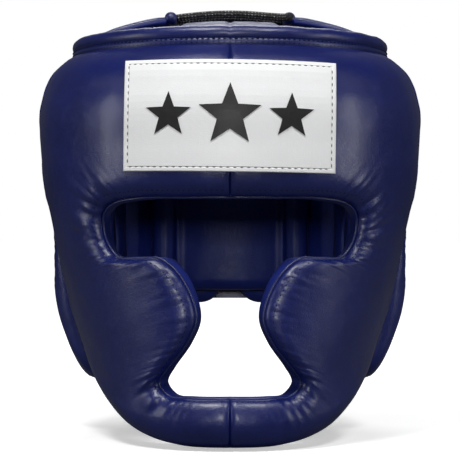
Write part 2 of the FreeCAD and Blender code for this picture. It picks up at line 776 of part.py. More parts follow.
def rounded_path(points, radius):
    """Straight runs joined by tangent arcs. A radius that its runs can't hold is made smaller."""
    edges = []
    start = points[0]
    for before, at, after in zip(points, points[1:], points[2:]):
        back = (before - at).normalize()
        ahead = (after - at).normalize()
        turn = math.pi - back.getAngle(ahead)
        shorter = min((before - at).Length, (after - at).Length)
        reach = min(radius * math.tan(turn / 2), 0.45 * shorter)
        reach = max(reach, 0.01)
        a = at + back * reach
        b = at + ahead * reach
        real_radius = reach / math.tan(turn / 2)
        to_middle = (back + ahead).normalize()
        middle = at + to_middle * (real_radius / math.cos(turn / 2) - real_radius)
        edges.append(Part.LineSegment(start, a).toShape())
        edges.append(Part.Arc(a, middle, b).toShape())
        start = b
    edges.append(Part.LineSegment(start, points[-1]).toShape())
    return Part.Wire(edges)


def lace_solid():
    path = rounded_path(lace_points(), bend)
    first = lace_points()[0]
    direction = (lace_points()[1] - first).normalize()
    ring = Part.Wire([Part.Circle(first, direction, size("lace_radius")).toShape()])
    solid = path.makePipeShell([ring], True, True)
    ideal = math.pi * size("lace_radius") ** 2 * path.Length
    print(f"lace: {path.Length:.0f} mm long, volume {solid.Volume / ideal:.3f} of section times length")
    return solid


node("crown_lace", feature("crown_lace", lace_solid()))
tail_end = lace_points()[-1]
aglet_shape = Part.makeCylinder(
    size("aglet_radius"),
    size("aglet_length"),
    tail_end - ALONG_Y * size("aglet_overlap"),
    ALONG_Y,
)
aglet = feature("aglet_rod", aglet_shape)
node("lace_aglet", cut("lace_aglet", aglet, NODES["crown_lace"]))

# ---- back pad -------------------------------------------------------------------------------

behind_head = slab("behind_head", y=("$ear_rear$", None))
back_wire = rounded_wire(
    (-size("back_pad_half_width"), size("back_pad_bottom")),
    (size("back_pad_half_width"), size("back_pad_top")),
    [size("back_pad_corner")] * 4,
    lambda u, v: Vector(u, 0, v),
)
back_window = prism("back_window", back_wire, ALONG_Y)
PAD = "sizes.back_pad_thickness"
PAD_DEPTHS = (PAD, f"({PAD} - sizes.leather)", "sizes.leather", "0")
back_drums = [drum(f"back_drum_{k}", grow) for k, grow in enumerate(PAD_DEPTHS)]
back_layers = [cut(f"back_layer_{k}", back_drums[k], back_drums[k + 1]) for k in range(3)]


def back_piece(name, layer, *limits):
    return node(name, common(name, layer, back_window, behind_head, *limits))


back_piece("back_pad_cover", back_layers[0])
back_piece("back_pad_lining", back_layers[2])
channel = "($back_channel$ - $foam_gap$ / 2)"
back_piece("back_pad_foam", back_layers[1], slab("centre_channel", x=(f"-{channel}", channel)))
outer_channel = {
    "left": ("$back_channel$ + $foam_gap$ / 2", None),
    "right": (None, "-$back_channel$ - $foam_gap$ / 2"),
}
for side, sign in SIDES:
    zone = slab(f"side_channel_{side}", x=outer_channel[side])
    back_piece(f"back_pad_side_foam_{side}", back_layers[1], zone)

hinge_length = 2 * (size("tongue_half_width") - size("back_hinge_inset"))
hinge_radius = size("back_hinge_radius")
back_hinge_y = tongue_rear + hinge_radius + size("back_hinge_behind")
back_hinge_z = size("back_pad_top") + hinge_radius + size("back_hinge_above")
hinge_start = Vector(-hinge_length / 2, back_hinge_y, back_hinge_z)
hinge_rod = rod("back_hinge_rod", hinge_start, ALONG_X, hinge_radius, hinge_length)
node("back_pad_hinge_roll", hinge_rod)

# ---- rear wings -----------------------------------------------------------------------------

WING_IN = f"({PAD} + sizes.wing_gap)"
WING_OUT = f"({WING_IN} + sizes.wing_thickness)"
WING_DEPTHS = (WING_OUT, f"({WING_OUT} - sizes.leather)", f"({WING_IN} + sizes.leather)", WING_IN)
wing_inner = number(WING_IN)
wing_outer = number(WING_OUT)
wing_drums = [drum(f"wing_drum_{k}", grow) for k, grow in enumerate(WING_DEPTHS)]
wing_layers = [cut(f"wing_layer_{k}", wing_drums[k], wing_drums[k + 1]) for k in range(3)]
hinge_y = size("ear_rear") + size("wing_hinge_air") + size("wing_hinge_radius")
behind_hinge = slab(
    "behind_hinge",
    y=("$ear_rear$ + 2 * $wing_hinge_air$ + 2 * $wing_hinge_radius$", None),
)
middle_grow = (wing_inner + wing_outer) / 2


def oval_x(grow, y):
    """Half-width at y of the head's oval grown by grow."""
    half_depth = size("head_front") + grow + CENTRE
    return (size("head_half_width") + grow) * math.sqrt(1 - ((y - CENTRE) / half_depth) ** 2)


def oval_y(grow, x):
    """Rear reach at x of the head's oval grown by grow."""
    half_depth = size("head_front") + grow + CENTRE
    return CENTRE + half_depth * math.sqrt(1 - (x / (size("head_half_width") + grow)) ** 2)


hinge_x = oval_x(middle_grow, hinge_y)
print(f"wing hinge axis at x {hinge_x:.2f}, y {hinge_y:.2f}")
WING_NODES = ("wing_cover", "wing_foam", "wing_lining")
round_corner = size("wing_corner")
for side, sign in SIDES:
    wing_wire = rounded_wire(
        (size("wing_tip"), size("wing_bottom")),
        (FAR, size("wing_top")),
        (round_corner, 0, 0, round_corner),
        lambda u, v: Vector(sign * u, 0, v),
    )
    wing_window = prism(f"wing_window_{side}", wing_wire, ALONG_Y)
    for layer, layer_name in zip(wing_layers, WING_NODES):
        name = f"{layer_name}_{side}"
        node(name, common(name, layer, wing_window, behind_hinge))
    start = Vector(sign * hinge_x, hinge_y, size("wing_bottom") + round_corner)
    length = size("wing_top") - size("wing_bottom") - 2 * round_corner
    roll = rod(f"wing_hinge_roll_{side}", start, AXIS_Z, size("wing_hinge_radius"), length)
    node(f"wing_hinge_roll_{side}", roll)

# ---- closure strap --------------------------------------------------------------------------

LOOP = f"({WING_OUT} + sizes.tape)"
HOOK = f"({LOOP} + sizes.tape_air)"
STRAP_IN = f"({HOOK} + sizes.tape)"
STRAP_OUT = f"({STRAP_IN} + sizes.strap_thickness)"
strap_drums = {
    "wing": wing_drums[0],
    "loop": drum("loop_drum", LOOP),
    "hook": drum("hook_drum", HOOK),
    "strap_in": drum("strap_in_drum", STRAP_IN),
    "strap_out": drum("strap_out_drum", STRAP_OUT),
}
fold_grow = number(STRAP_IN) + size("strap_thickness") / 2
fold_x = size("strap_fold_x")
fold_y = oval_y(fold_grow, fold_x)
print(f"strap fold axis at x {fold_x:.2f}, y {fold_y:.2f}")
print(f"back pad hinge axis at y {back_hinge_y:.2f}, z {back_hinge_z:.2f}")


def strap_piece(name, outer, inner, x_low, x_high, margin, radii):
    """A piece of tape or strap on the wings between two ovals."""
    wire = rounded_wire(
        (x_low, size("strap_bottom") + margin),
        (x_high, size("strap_top") - margin),
        radii,
        lambda u, v: Vector(u, 0, v),
    )
    ring = cut(name + "_ring", strap_drums[outer], strap_drums[inner])
    return node(name, common(name, ring, prism(name + "_window", wire, ALONG_Y), behind_head))


inset = size("tape_inset")
tip = -size("strap_tip")
tab_start = tip + size("strap_tab")
fold_end = fold_x - size("fold_start")
base_start = fold_x + size("fold_air")
tape_end = -size("wing_tip") - inset
tab_round = size("strap_tab_corner")
base_round = size("strap_base_corner")
SQUARE = (0, 0, 0, 0)
base_radii = (0, base_round, base_round, 0)
strap_piece("strap_base", "strap_out", "wing", base_start, size("strap_base_end"), 0, base_radii)
strap_piece("closure_strap", "strap_out", "strap_in", tab_start, fold_end, 0, SQUARE)
strap_piece("strap_tab", "strap_out", "strap_in", tip, tab_start, 0, (tab_round, 0, 0, tab_round))
strap_piece("hook_tape", "strap_in", "hook", tab_start, tape_end, inset, SQUARE)
strap_piece("loop_tape", "loop", "wing", tip - inset, tape_end, inset, SQUARE)

# ---- checks and export ----------------------------------------------------------------------

doc.recompute()
for made in doc.Objects:
    if "Invalid" in made.State or "Error" in made.State:
        raise RuntimeError(f"{made.Name} failed to compute: {made.State}")
SMALLEST_VOLUME = 1  # cubic millimetres


def is_sound(shape):
    return not shape.isNull() and shape.isValid() and shape.Volume > SMALLEST_VOLUME


bad = [name for name, made in NODES.items() if not is_sound(made.Shape)]
if bad:
    raise RuntimeError(f"no valid solid: {', '.join(bad)}")
os.makedirs("parts", exist_ok=True)
for name, made in NODES.items():
    made.Shape.exportStep(f"parts/{name}.step")
    print(f"{name}: {len(made.Shape.Solids)} solid(s), {made.Shape.Volume / 1000:.2f} cm3")
print(len(NODES), "nodes")
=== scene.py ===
# %% [markdown]
# # A boxing headgear in padded leather
# The headgear is a set of stuffed leather pads: a face shell, ear pads, a crown, a back pad and two rear
# wings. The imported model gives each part's place and motion. This script builds the looks round it, a pad
# at a time.

# %% Load the frame
import math

import bmesh
import bpy
import numpy as np
from mathutils import Matrix, Vector, noise
from mathutils.kdtree import KDTree


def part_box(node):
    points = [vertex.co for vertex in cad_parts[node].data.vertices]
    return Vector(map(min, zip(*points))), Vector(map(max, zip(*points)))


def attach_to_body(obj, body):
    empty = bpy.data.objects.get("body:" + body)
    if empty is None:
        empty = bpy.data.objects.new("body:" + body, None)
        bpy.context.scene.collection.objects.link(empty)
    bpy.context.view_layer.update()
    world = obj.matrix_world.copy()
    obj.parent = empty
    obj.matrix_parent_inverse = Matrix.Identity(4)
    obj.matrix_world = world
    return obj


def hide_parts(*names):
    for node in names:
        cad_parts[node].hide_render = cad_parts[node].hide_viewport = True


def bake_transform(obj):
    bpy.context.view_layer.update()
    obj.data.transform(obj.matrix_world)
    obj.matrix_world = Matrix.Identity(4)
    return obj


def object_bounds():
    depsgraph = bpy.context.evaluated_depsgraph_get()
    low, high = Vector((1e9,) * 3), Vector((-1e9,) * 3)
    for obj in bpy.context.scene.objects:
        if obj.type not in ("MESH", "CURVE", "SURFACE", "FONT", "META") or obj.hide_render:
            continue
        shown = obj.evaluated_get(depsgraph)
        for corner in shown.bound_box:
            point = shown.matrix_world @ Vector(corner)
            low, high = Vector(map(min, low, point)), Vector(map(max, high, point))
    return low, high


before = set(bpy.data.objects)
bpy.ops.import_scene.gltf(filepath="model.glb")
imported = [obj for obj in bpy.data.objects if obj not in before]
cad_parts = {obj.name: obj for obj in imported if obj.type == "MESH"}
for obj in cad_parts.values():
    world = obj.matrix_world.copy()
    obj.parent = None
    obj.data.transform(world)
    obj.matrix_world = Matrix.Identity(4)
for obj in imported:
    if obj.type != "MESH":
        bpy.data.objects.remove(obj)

MM = 0.001


def corners_of(node):
    """The low and high corner of a CAD node's box, in millimetres."""
    return [np.array(corner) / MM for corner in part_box(node)]


cad_box = [list(corner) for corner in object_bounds()]
print("CAD box", [[round(v, 4) for v in corner] for corner in cad_box])
bpy.ops.object.select_all(action="DESELECT")

# %% [markdown]
# ## Camera, floor and light
# The guard is seen from the front at eye level through a long lens, so that its sides don't shrink away.
# The floor looks white to the camera alone, by painted light that is dimmer near the guard as painted shade
# round its shadow. Large soft lamps give leather what it needs most: broad, soft reflections.

# %% Camera
CAMERA_DISTANCE = 1.170
camera_data = bpy.data.cameras.new("camera")
camera_data.lens = 150.1
camera_data.sensor_width = 36
camera = bpy.data.objects.new("camera", camera_data)
camera.location = (0, -CAMERA_DISTANCE, 0)
camera.rotation_euler = (math.pi / 2, 0, 0)
bpy.context.collection.objects.link(camera)
bpy.context.scene.camera = camera

# %% Floor and backdrop
FLOOR_Z = cad_box[0][2] - 1.0 * MM
bpy.ops.mesh.primitive_plane_add(size=24, location=(0, 0, 0))
floor = bpy.context.object
floor.name = "floor"
floor.data.transform(Matrix.Translation((0, 6, FLOOR_Z)))
floor_paint = bpy.data.materials.new("floor_paint")
floor_paint.use_nodes = True
floor_shader = floor_paint.node_tree.nodes["Principled BSDF"]
floor_shader.inputs["Roughness"].default_value = 0.7
floor_shader.inputs["Specular IOR Level"].default_value = 0.2
floor_shader.inputs["Emission Color"].default_value = (1, 1, 1, 1)
floor_links = floor_paint.node_tree.links
place = floor_paint.node_tree.nodes.new("ShaderNodeTexCoord")
distance = floor_paint.node_tree.nodes.new("ShaderNodeVectorMath")
distance.operation = "LENGTH"
floor_links.new(place.outputs["Object"], distance.inputs[0])
# Painted light: the floor glows for camera rays only, dimmer near the guard as painted shade round its shadow
# and brighter far off, so that it reads white; other rays see it dark grey.
painted_floor_glow = floor_paint.node_tree.nodes.new("ShaderNodeMapRange")
painted_floor_glow.inputs["From Min"].default_value = 0.15
painted_floor_glow.inputs["From Max"].default_value = 1.1
painted_floor_glow.inputs["To Min"].default_value = 0.45
painted_floor_glow.inputs["To Max"].default_value = 1.0
floor_links.new(distance.outputs["Value"], painted_floor_glow.inputs["Value"])
seen_floor = floor_paint.node_tree.nodes.new("ShaderNodeLightPath")
floor_light = floor_paint.node_tree.nodes.new("ShaderNodeMath")
floor_light.operation = "MULTIPLY"
floor_links.new(painted_floor_glow.outputs["Result"], floor_light.inputs[0])
floor_links.new(seen_floor.outputs["Is Camera Ray"], floor_light.inputs[1])
floor_links.new(floor_light.outputs["Value"], floor_shader.inputs["Emission Strength"])
floor_colour = floor_paint.node_tree.nodes.new("ShaderNodeMix")
floor_colour.data_type = "RGBA"
floor_colour.inputs[6].default_value = (0.1, 0.1, 0.1, 1)
floor_colour.inputs[7].default_value = (0.9, 0.9, 0.9, 1)
floor_links.new(seen_floor.outputs["Is Camera Ray"], floor_colour.inputs["Factor"])
floor_links.new(floor_colour.outputs[2], floor_shader.inputs["Base Color"])
floor.data.materials.append(floor_paint)

# %% Lamps
world = bpy.data.worlds.new("studio")
bpy.context.scene.world = world
world.use_nodes = True
backdrop = world.node_tree.nodes["Background"]
backdrop.inputs["Color"].default_value = (1, 1, 1, 1)
seen = world.node_tree.nodes.new("ShaderNodeLightPath")
brightness = world.node_tree.nodes.new("ShaderNodeMapRange")
brightness.inputs["To Min"].default_value = 0.07
brightness.inputs["To Max"].default_value = 1.0
world.node_tree.links.new(seen.outputs["Is Camera Ray"], brightness.inputs["Value"])
world.node_tree.links.new(brightness.outputs["Result"], backdrop.inputs["Strength"])
bpy.context.scene.view_settings.view_transform = "Standard"


def lamp(name, place, aim, width, height, watts):
    """A rectangular soft lamp that shines from place towards aim."""
    data = bpy.data.lights.new(name, "AREA")
    data.shape = "RECTANGLE"
    data.size = width
    data.size_y = height
    data.energy = watts
    made = bpy.data.objects.new(name, data)
    made.location = place
    made.rotation_euler = (Vector(aim) - Vector(place)).to_track_quat("-Z", "Y").to_euler()
    bpy.context.collection.objects.link(made)
    return made


lamp("key_lamp", (-0.35, -0.7, 1.3), (0, -0.1, 0.05), 0.4, 0.25, 14)
lamp("second_lamp", (0.5, -0.75, 1.15), (0, -0.1, 0), 0.3, 0.25, 8)
lamp("front_fill", (0, -2.2, 0.22), (0, 0, 0), 0.3, 0.2, 12)
lamp("left_lamp", (-1.25, -0.35, 0.1), (0, 0, 0), 0.2, 0.8, 4)
lamp("right_lamp", (1.25, -0.35, 0.1), (0, 0, 0), 0.2, 0.8, 4)
lamp("rear_lamp", (0, 1.1, 1.2), (0, 0, 0), 0.9, 0.4, 7)

# %% [markdown]
# ## Finishes
# Glossy glove leather is a deep pigment under a clear finish. Its grain is a net of tiny cells, its
# colour drifts a little from place to place, and it wears lighter where it is handled. Everything reads
# Object coordinates, because each finished piece keeps its place in its mesh.


# %% Node helpers
def new_material(name):
    made = bpy.data.materials.new(name)
    made.use_nodes = True
    return made, made.node_tree, made.node_tree.nodes["Principled BSDF"]


def add_node(tree, kind, **settings):
    made = tree.nodes.new(kind)
    for key, value in settings.items():
        if key in made.inputs:
            made.inputs[key].default_value = value
        else:
            setattr(made, key, value)
    return made


def object_coordinates(tree):
    return add_node(tree, "ShaderNodeTexCoord").outputs["Object"]


def noise_field(tree, place, scale, detail=3.0, roughness=0.55):
    made = add_node(tree, "ShaderNodeTexNoise", Scale=scale, Detail=detail, Roughness=roughness)
    tree.links.new(place, made.inputs["Vector"])
    return made.outputs["Fac"]


def remap(tree, value, low, high, to_low, to_high):
    made = add_node(tree, "ShaderNodeMapRange")
    tree.links.new(value, made.inputs["Value"])
    for key, number in zip(("From Min", "From Max", "To Min", "To Max"), (low, high, to_low, to_high)):
        made.inputs[key].default_value = number
    return made.outputs["Result"]


def mix_colours(tree, share, first, second):
    made = add_node(tree, "ShaderNodeMix", data_type="RGBA")
    tree.links.new(share, made.inputs["Factor"])
    for socket, colour in zip((made.inputs[6], made.inputs[7]), (first, second)):
        if isinstance(colour, tuple):
            socket.default_value = (*colour, 1)
        else:
            tree.links.new(colour, socket)
    return made.outputs[2]


def bump(tree, height, distance, strength=1.0, under=None):
    made = add_node(tree, "ShaderNodeBump", Strength=strength, Distance=distance)
    tree.links.new(height, made.inputs["Height"])
    if under is not None:
        tree.links.new(under, made.inputs["Normal"])
    return made.outputs["Normal"]


# %% Glossy leather
def leather(name, deep, light, rough, grain=1.0, coat=0.35, darkest=0.75):
    """Grained leather: deep is its colour, light its worn places, darkest the share of deep that drifts."""
    made, tree, shader = new_material(name)
    place = object_coordinates(tree)
    drift = noise_field(tree, place, 26, 3)
    mottle = noise_field(tree, place, 240, 4, 0.65)
    worn = remap(tree, mottle, 0.55, 0.95, 0, 1)
    toned = mix_colours(tree, remap(tree, drift, 0.3, 0.7, 0, 1), deep, tuple(c * darkest for c in deep))
    tree.links.new(mix_colours(tree, worn, toned, light), shader.inputs["Base Color"])
    cells = add_node(tree, "ShaderNodeTexVoronoi", Scale=1150.0, feature="DISTANCE_TO_EDGE")
    tree.links.new(place, cells.inputs["Vector"])
    pores = remap(tree, cells.outputs["Distance"], 0.0, 0.25, 0, 1)
    creased = noise_field(tree, place, 150, 5, 0.7)
    gloss = remap(tree, mottle, 0.25, 0.75, rough - 0.05, rough + 0.09)
    tree.links.new(gloss, shader.inputs["Roughness"])
    fine = bump(tree, pores, 0.00007 * grain, 0.6)
    tree.links.new(bump(tree, creased, 0.0004 * grain, 0.4, fine), shader.inputs["Normal"])
    shader.inputs["IOR"].default_value = 1.5
    shader.inputs["Specular IOR Level"].default_value = 0.42
    shader.inputs["Coat Weight"].default_value = coat
    shader.inputs["Coat Roughness"].default_value = 0.28
    return made


NAVY = (0.0028, 0.0085, 0.098)
NAVY_WORN = (0.005, 0.014, 0.135)
shell_leather = leather("glossy_navy_leather", NAVY, NAVY_WORN, 0.33)
# Painted light: the lining's navy is lighter than the shell's, to stand in for the light that can't reach
# inside the guard; its matt finish is its own.
lightened_lining_leather = leather("navy_lining_leather", (0.005, 0.016, 0.17), (0.008, 0.022, 0.2), 0.5, 0.8, 0.0)
trim_leather = leather("navy_trim_leather", (0.003, 0.0085, 0.09), NAVY_WORN, 0.36, 1.1)
patch_leather = leather("white_patch_leather", (0.77, 0.775, 0.78), (0.8, 0.805, 0.81), 0.5, 0.7, 0.05, 0.96)
motif_paint = leather("black_printed_leather", (0.006, 0.006, 0.007), (0.014, 0.014, 0.014), 0.5, 0.7, 0.05)


# %% Thread, lace, tape, foam and metal
def thread(name, colour):
    """Waxed sewing thread: twisted fibres that catch a little light."""
    made, tree, shader = new_material(name)
    place = object_coordinates(tree)
    fibre = noise_field(tree, place, 2600, 2)
    shade = mix_colours(tree, fibre, tuple(c * 0.6 for c in colour), tuple(min(1, c * 1.3) for c in colour))
    tree.links.new(shade, shader.inputs["Base Color"])
    tree.links.new(remap(tree, fibre, 0, 1, 0.65, 0.9), shader.inputs["Roughness"])
    tree.links.new(bump(tree, fibre, 0.0001), shader.inputs["Normal"])
    shader.inputs["Specular IOR Level"].default_value = 0.12
    return made


# Partly painted shade: the navy thread has its own dark colour and is made darker still for the shadow in the
# stitch holes.
shade_darkened_navy_thread = thread("shade_darkened_navy_thread", (0.005, 0.008, 0.035))
grey_thread = thread("grey_thread", (0.16, 0.16, 0.17))


def pile(name, colour, scale, depth, rough):
    """Hook tape, loop tape and open foam: a rough field of small bumps."""
    made, tree, shader = new_material(name)
    place = object_coordinates(tree)
    tufts = noise_field(tree, place, scale, 4, 0.7)
    shade = mix_colours(tree, remap(tree, tufts, 0.35, 0.7, 0, 1), tuple(c * 0.45 for c in colour), colour)
    tree.links.new(shade, shader.inputs["Base Color"])
    tree.links.new(remap(tree, tufts, 0, 1, rough - 0.1, rough + 0.1), shader.inputs["Roughness"])
    tree.links.new(bump(tree, tufts, depth), shader.inputs["Normal"])
    shader.inputs["Sheen Weight"].default_value = 0.3
    shader.inputs["Sheen Roughness"].default_value = 0.5
    return made


hook_pile = pile("hook_tape_pile", (0.03, 0.03, 0.035), 1500, 0.0006, 0.7)
loop_pile = pile("loop_tape_pile", (0.035, 0.035, 0.045), 900, 0.0009, 0.85)
foam_cells = pile("foam_cells", (0.12, 0.12, 0.13), 700, 0.0005, 0.85)


def braid(name):
    """Round woven lace: strands that cross in a net of diamonds, with painted highlights in light grey on a
    few strand tops.
    """
    made, tree, shader = new_material(name)
    around = add_node(tree, "ShaderNodeUVMap", uv_map="along").outputs["UV"]
    split = add_node(tree, "ShaderNodeSeparateXYZ")
    tree.links.new(around, split.inputs[0])
    waves = []
    for sign in (1, -1):
        turned = add_node(tree, "ShaderNodeMath", operation="MULTIPLY_ADD")
        tree.links.new(split.outputs["Y"], turned.inputs[0])
        turned.inputs[1].default_value = sign
        tree.links.new(split.outputs["X"], turned.inputs[2])
        wave = add_node(tree, "ShaderNodeMath", operation="SINE")
        tree.links.new(turned.outputs[0], wave.inputs[0])
        waves.append(wave.outputs[0])
    crossing = add_node(tree, "ShaderNodeMath", operation="MULTIPLY")
    tree.links.new(waves[0], crossing.inputs[0])
    tree.links.new(waves[1], crossing.inputs[1])
    place = object_coordinates(tree)
    glint_spots = noise_field(tree, place, 420, 2)
    # Painted highlights: light grey where the strands' crossing wave peaks, at spots that the noise picks.
    painted_glints = add_node(tree, "ShaderNodeMath", operation="MULTIPLY")
    tree.links.new(remap(tree, crossing.outputs[0], 0.55, 0.95, 0, 1), painted_glints.inputs[0])
    tree.links.new(remap(tree, glint_spots, 0.45, 0.6, 0, 1), painted_glints.inputs[1])
    shade = mix_colours(tree, painted_glints.outputs[0], (0.008, 0.008, 0.009), (0.42, 0.42, 0.42))
    tree.links.new(shade, shader.inputs["Base Color"])
    tree.links.new(remap(tree, crossing.outputs[0], -1, 1, 0.7, 0.42), shader.inputs["Roughness"])
    tree.links.new(bump(tree, crossing.outputs[0], 0.0005), shader.inputs["Normal"])
    return made


lace_braid = braid("black_woven_lace")


def polished_tip(name):
    made, tree, shader = new_material(name)
    scratches = noise_field(tree, object_coordinates(tree), 1400, 5, 0.8)
    tree.links.new(remap(tree, scratches, 0.3, 0.8, 0.18, 0.42), shader.inputs["Roughness"])
    shade = mix_colours(tree, scratches, (0.62, 0.62, 0.64), (0.8, 0.8, 0.82))
    tree.links.new(shade, shader.inputs["Base Color"])
    tree.links.new(bump(tree, scratches, 0.00004), shader.inputs["Normal"])
    shader.inputs["Metallic"].default_value = 1.0
    return made


tip_metal = polished_tip("polished_lace_tip")

# %% [markdown]
# ## The head's ovals
# Every pad wraps a head, so its surfaces are ovals that change with height. These are the sizes that the
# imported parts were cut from, in millimetres: the height, the half-width and front reach inside the
# lining, and how far the face shell's padding and the ear pads' padding stand out from there.

# %% Sections of the padding
LEVELS = np.array(
    [
        # z, inner half-width, inner reach, side padding, front padding, ear padding
        (-122, 62, 84, 25, 29, 25),
        (-87, 70, 86, 18, 29, 22),
        (-50, 76, 88, 20.5, 28, 28),
        (0, 78, 90, 29.5, 29, 34.5),
        (45, 78, 90, 37, 30.5, 37),
        (78, 78, 90, 36, 29, 36),
        (97, 78, 90, 27, 21.5, 27),
        (103.6, 78, 90, 20, 14, 20),
    ]
)
HEAD_BACK = 98
CENTRE_Y = (HEAD_BACK - 90) / 2


def smooth_levels(column):
    """A curve through one column of the levels, with a slope at each that its neighbours give."""
    z, value = LEVELS[:, 0], LEVELS[:, column]
    slope = np.gradient(value, z)

    def at(height):
        height = np.clip(height, z[0], z[-1])
        k = np.clip(np.searchsorted(z, height) - 1, 0, len(z) - 2)
        span = z[k + 1] - z[k]
        t = (height - z[k]) / span
        first = (2 * t**3 - 3 * t**2 + 1) * value[k] + (t**3 - 2 * t**2 + t) * span * slope[k]
        return first + (-2 * t**3 + 3 * t**2) * value[k + 1] + (t**3 - t**2) * span * slope[k + 1]

    return at


inner_width, inner_reach, side_pad, front_pad, ear_pad = [smooth_levels(k) for k in range(1, 6)]


def on_face(turn, z, depth):
    """A point of the face shell: turn is its angle from the front, depth is 0 outside and 1 inside."""
    half_width = inner_width(z) + side_pad(z) * (1 - depth)
    half_depth = inner_reach(z) + CENTRE_Y + front_pad(z) * (1 - depth)
    return np.stack([half_width * np.sin(turn), CENTRE_Y - half_depth * np.cos(turn), z], -1)


def on_ear(y, z, depth):
    """A point of a left ear pad at (y, z)."""
    outer = (inner_width(z) + ear_pad(z), inner_reach(z) + CENTRE_Y + front_pad(z))
    inner = (inner_width(z), inner_reach(z) + CENTRE_Y)
    x = [w * np.sqrt(np.clip(1 - ((y - CENTRE_Y) / d) ** 2, 0, 1)) for w, d in (outer, inner)]
    return np.stack([x[0] + (x[1] - x[0]) * depth, y, z], -1)


BACK_HALF_WIDTH = 78
BACK_REACH = 90


def on_back(turn, z, grow):
    """A point grow outside the lining's oval; turn is its angle from the back, left positive."""
    half_depth = BACK_REACH + grow + CENTRE_Y
    return np.stack([(BACK_HALF_WIDTH + grow) * np.sin(turn), CENTRE_Y + half_depth * np.cos(turn), z], -1)


# %% [markdown]
# ## Mesh helpers
# A pad is made as a net of points, row by row, then as faces. Curved rows are worked out with numpy,
# which is quick and gives every stitch and pucker a place to sit.


# %% Smooth loops through a few points
def loop_through(points, count, closed=True):
    """count points, evenly spaced, on a smooth curve through the given points."""
    p = np.array(points, float)
    if closed:
        p = np.vstack([p, p[:1]])
    steps = np.linalg.norm(np.diff(p, axis=0), axis=1) ** 0.5
    t = np.concatenate([[0], np.cumsum(steps)])
    if closed:
        pad_t = np.concatenate([t[-4:-1] - t[-1], t, t[1:4] + t[-1]])
        pad_p = np.vstack([p[-4:-1], p, p[1:4]])
    else:
        pad_t, pad_p = t, p
    slope = np.gradient(pad_p, pad_t, axis=0)
    fine = np.linspace(t[0], t[-1], 2400)
    k = np.clip(np.searchsorted(pad_t, fine, side="right") - 1, 0, len(pad_t) - 2)
    span = (pad_t[k + 1] - pad_t[k])[:, None]
    s = (fine - pad_t[k])[:, None] / span
    curve = (2 * s**3 - 3 * s**2 + 1) * pad_p[k] + (s**3 - 2 * s**2 + s) * span * slope[k]
    curve += (-2 * s**3 + 3 * s**2) * pad_p[k + 1] + (s**3 - s**2) * span * slope[k + 1]
    length = np.concatenate([[0], np.cumsum(np.linalg.norm(np.diff(curve, axis=0), axis=1))])
    wanted = np.linspace(0, length[-1], count, endpoint=not closed)
    return np.stack([np.interp(wanted, length, curve[:, k]) for k in range(p.shape[1])], -1)


# %% Nets of points
def net_normals(net, closed_u, closed_v):
    """The normal at each point of a net, from its neighbours along both directions."""

    def slope(axis, closed):
        if closed:
            return np.roll(net, -1, axis) - np.roll(net, 1, axis)
        return np.gradient(net, axis=axis)

    normal = np.cross(slope(0, closed_u), slope(1, closed_v))
    size = np.linalg.norm(normal, axis=-1, keepdims=True)
    return normal / np.maximum(size, 1e-9)


def net_faces(rows, columns, closed_u, closed_v):
    faces = []
    for i in range(rows if closed_u else rows - 1):
        for j in range(columns if closed_v else columns - 1):
            a, b = i * columns + j, i * columns + (j + 1) % columns
            c, d = ((i + 1) % rows) * columns + (j + 1) % columns, ((i + 1) % rows) * columns + j
            faces.append((a, d, c, b))
    return faces


def make_object(name, points, faces, material, smooth=True):
    """An object from points in millimetres, its place in its mesh."""
    mesh = bpy.data.meshes.new(name)
    mesh.from_pydata((np.asarray(points, float).reshape(-1, 3) * MM).tolist(), [], faces)
    mesh.validate()
    if smooth:
        mesh.shade_smooth()
    mesh.materials.append(material)
    made = bpy.data.objects.new(name, mesh)
    bpy.context.collection.objects.link(made)
    return made


def attach(piece, body, node):
    """The piece rides on a body and stands for a CAD node, which is hidden."""
    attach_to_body(piece, body)
    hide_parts(node)


def face_outwards(made, merge=0.00002):
    """Welds what meets and turns every face of a closed mesh outwards."""
    shape = bmesh.new()
    shape.from_mesh(made.data)
    bmesh.ops.remove_doubles(shape, verts=shape.verts, dist=merge)
    bmesh.ops.recalc_face_normals(shape, faces=shape.faces)
    if shape.calc_volume(signed=True) < 0:
        bmesh.ops.reverse_faces(shape, faces=shape.faces)
    shape.to_mesh(made.data)
    shape.free()
    return made


def sheet_piece(name, net, normals, thickness, material, closed_u=False, closed_v=False):
    """A skin of leather: a net and its copy further in, joined along their edges."""
    rows, columns = net.shape[:2]
    inner = net - normals * thickness
    faces = net_faces(rows, columns, closed_u, closed_v)
    count = rows * columns
    faces += [tuple(count + k for k in reversed(face)) for face in faces]
    borders = []
    if not closed_v:
        borders += [[i * columns for i in range(rows)], [i * columns + columns - 1 for i in range(rows)]]
    if not closed_u:
        borders += [list(range(columns)), [(rows - 1) * columns + j for j in range(columns)]]
    for number, border in enumerate(borders):
        ring = closed_u if number < 2 and not closed_v else closed_v
        pairs = list(zip(border, border[1:])) + ([(border[-1], border[0])] if ring else [])
        faces += [(a, b, count + b, count + a) for a, b in pairs]
    made = make_object(name, np.concatenate([net.reshape(-1, 3), inner.reshape(-1, 3)]), faces, material)
    return face_outwards(made)


def smooth_noise(x, y, seed):
    """Repeatable soft noise for arrays, from -1 to 1."""
    flat = [noise.noise(Vector((a, b, seed))) for a, b in zip(np.ravel(x), np.ravel(y))]
    return np.reshape(flat, np.shape(x))


# %% [markdown]
# ## Stitches
# A lockstitch shows as short raised dashes with a dimple at each end. One dash is modelled once and
# copied along a seam, turned to follow it.


# %% A row of stitches
DASH_ROUND = 6


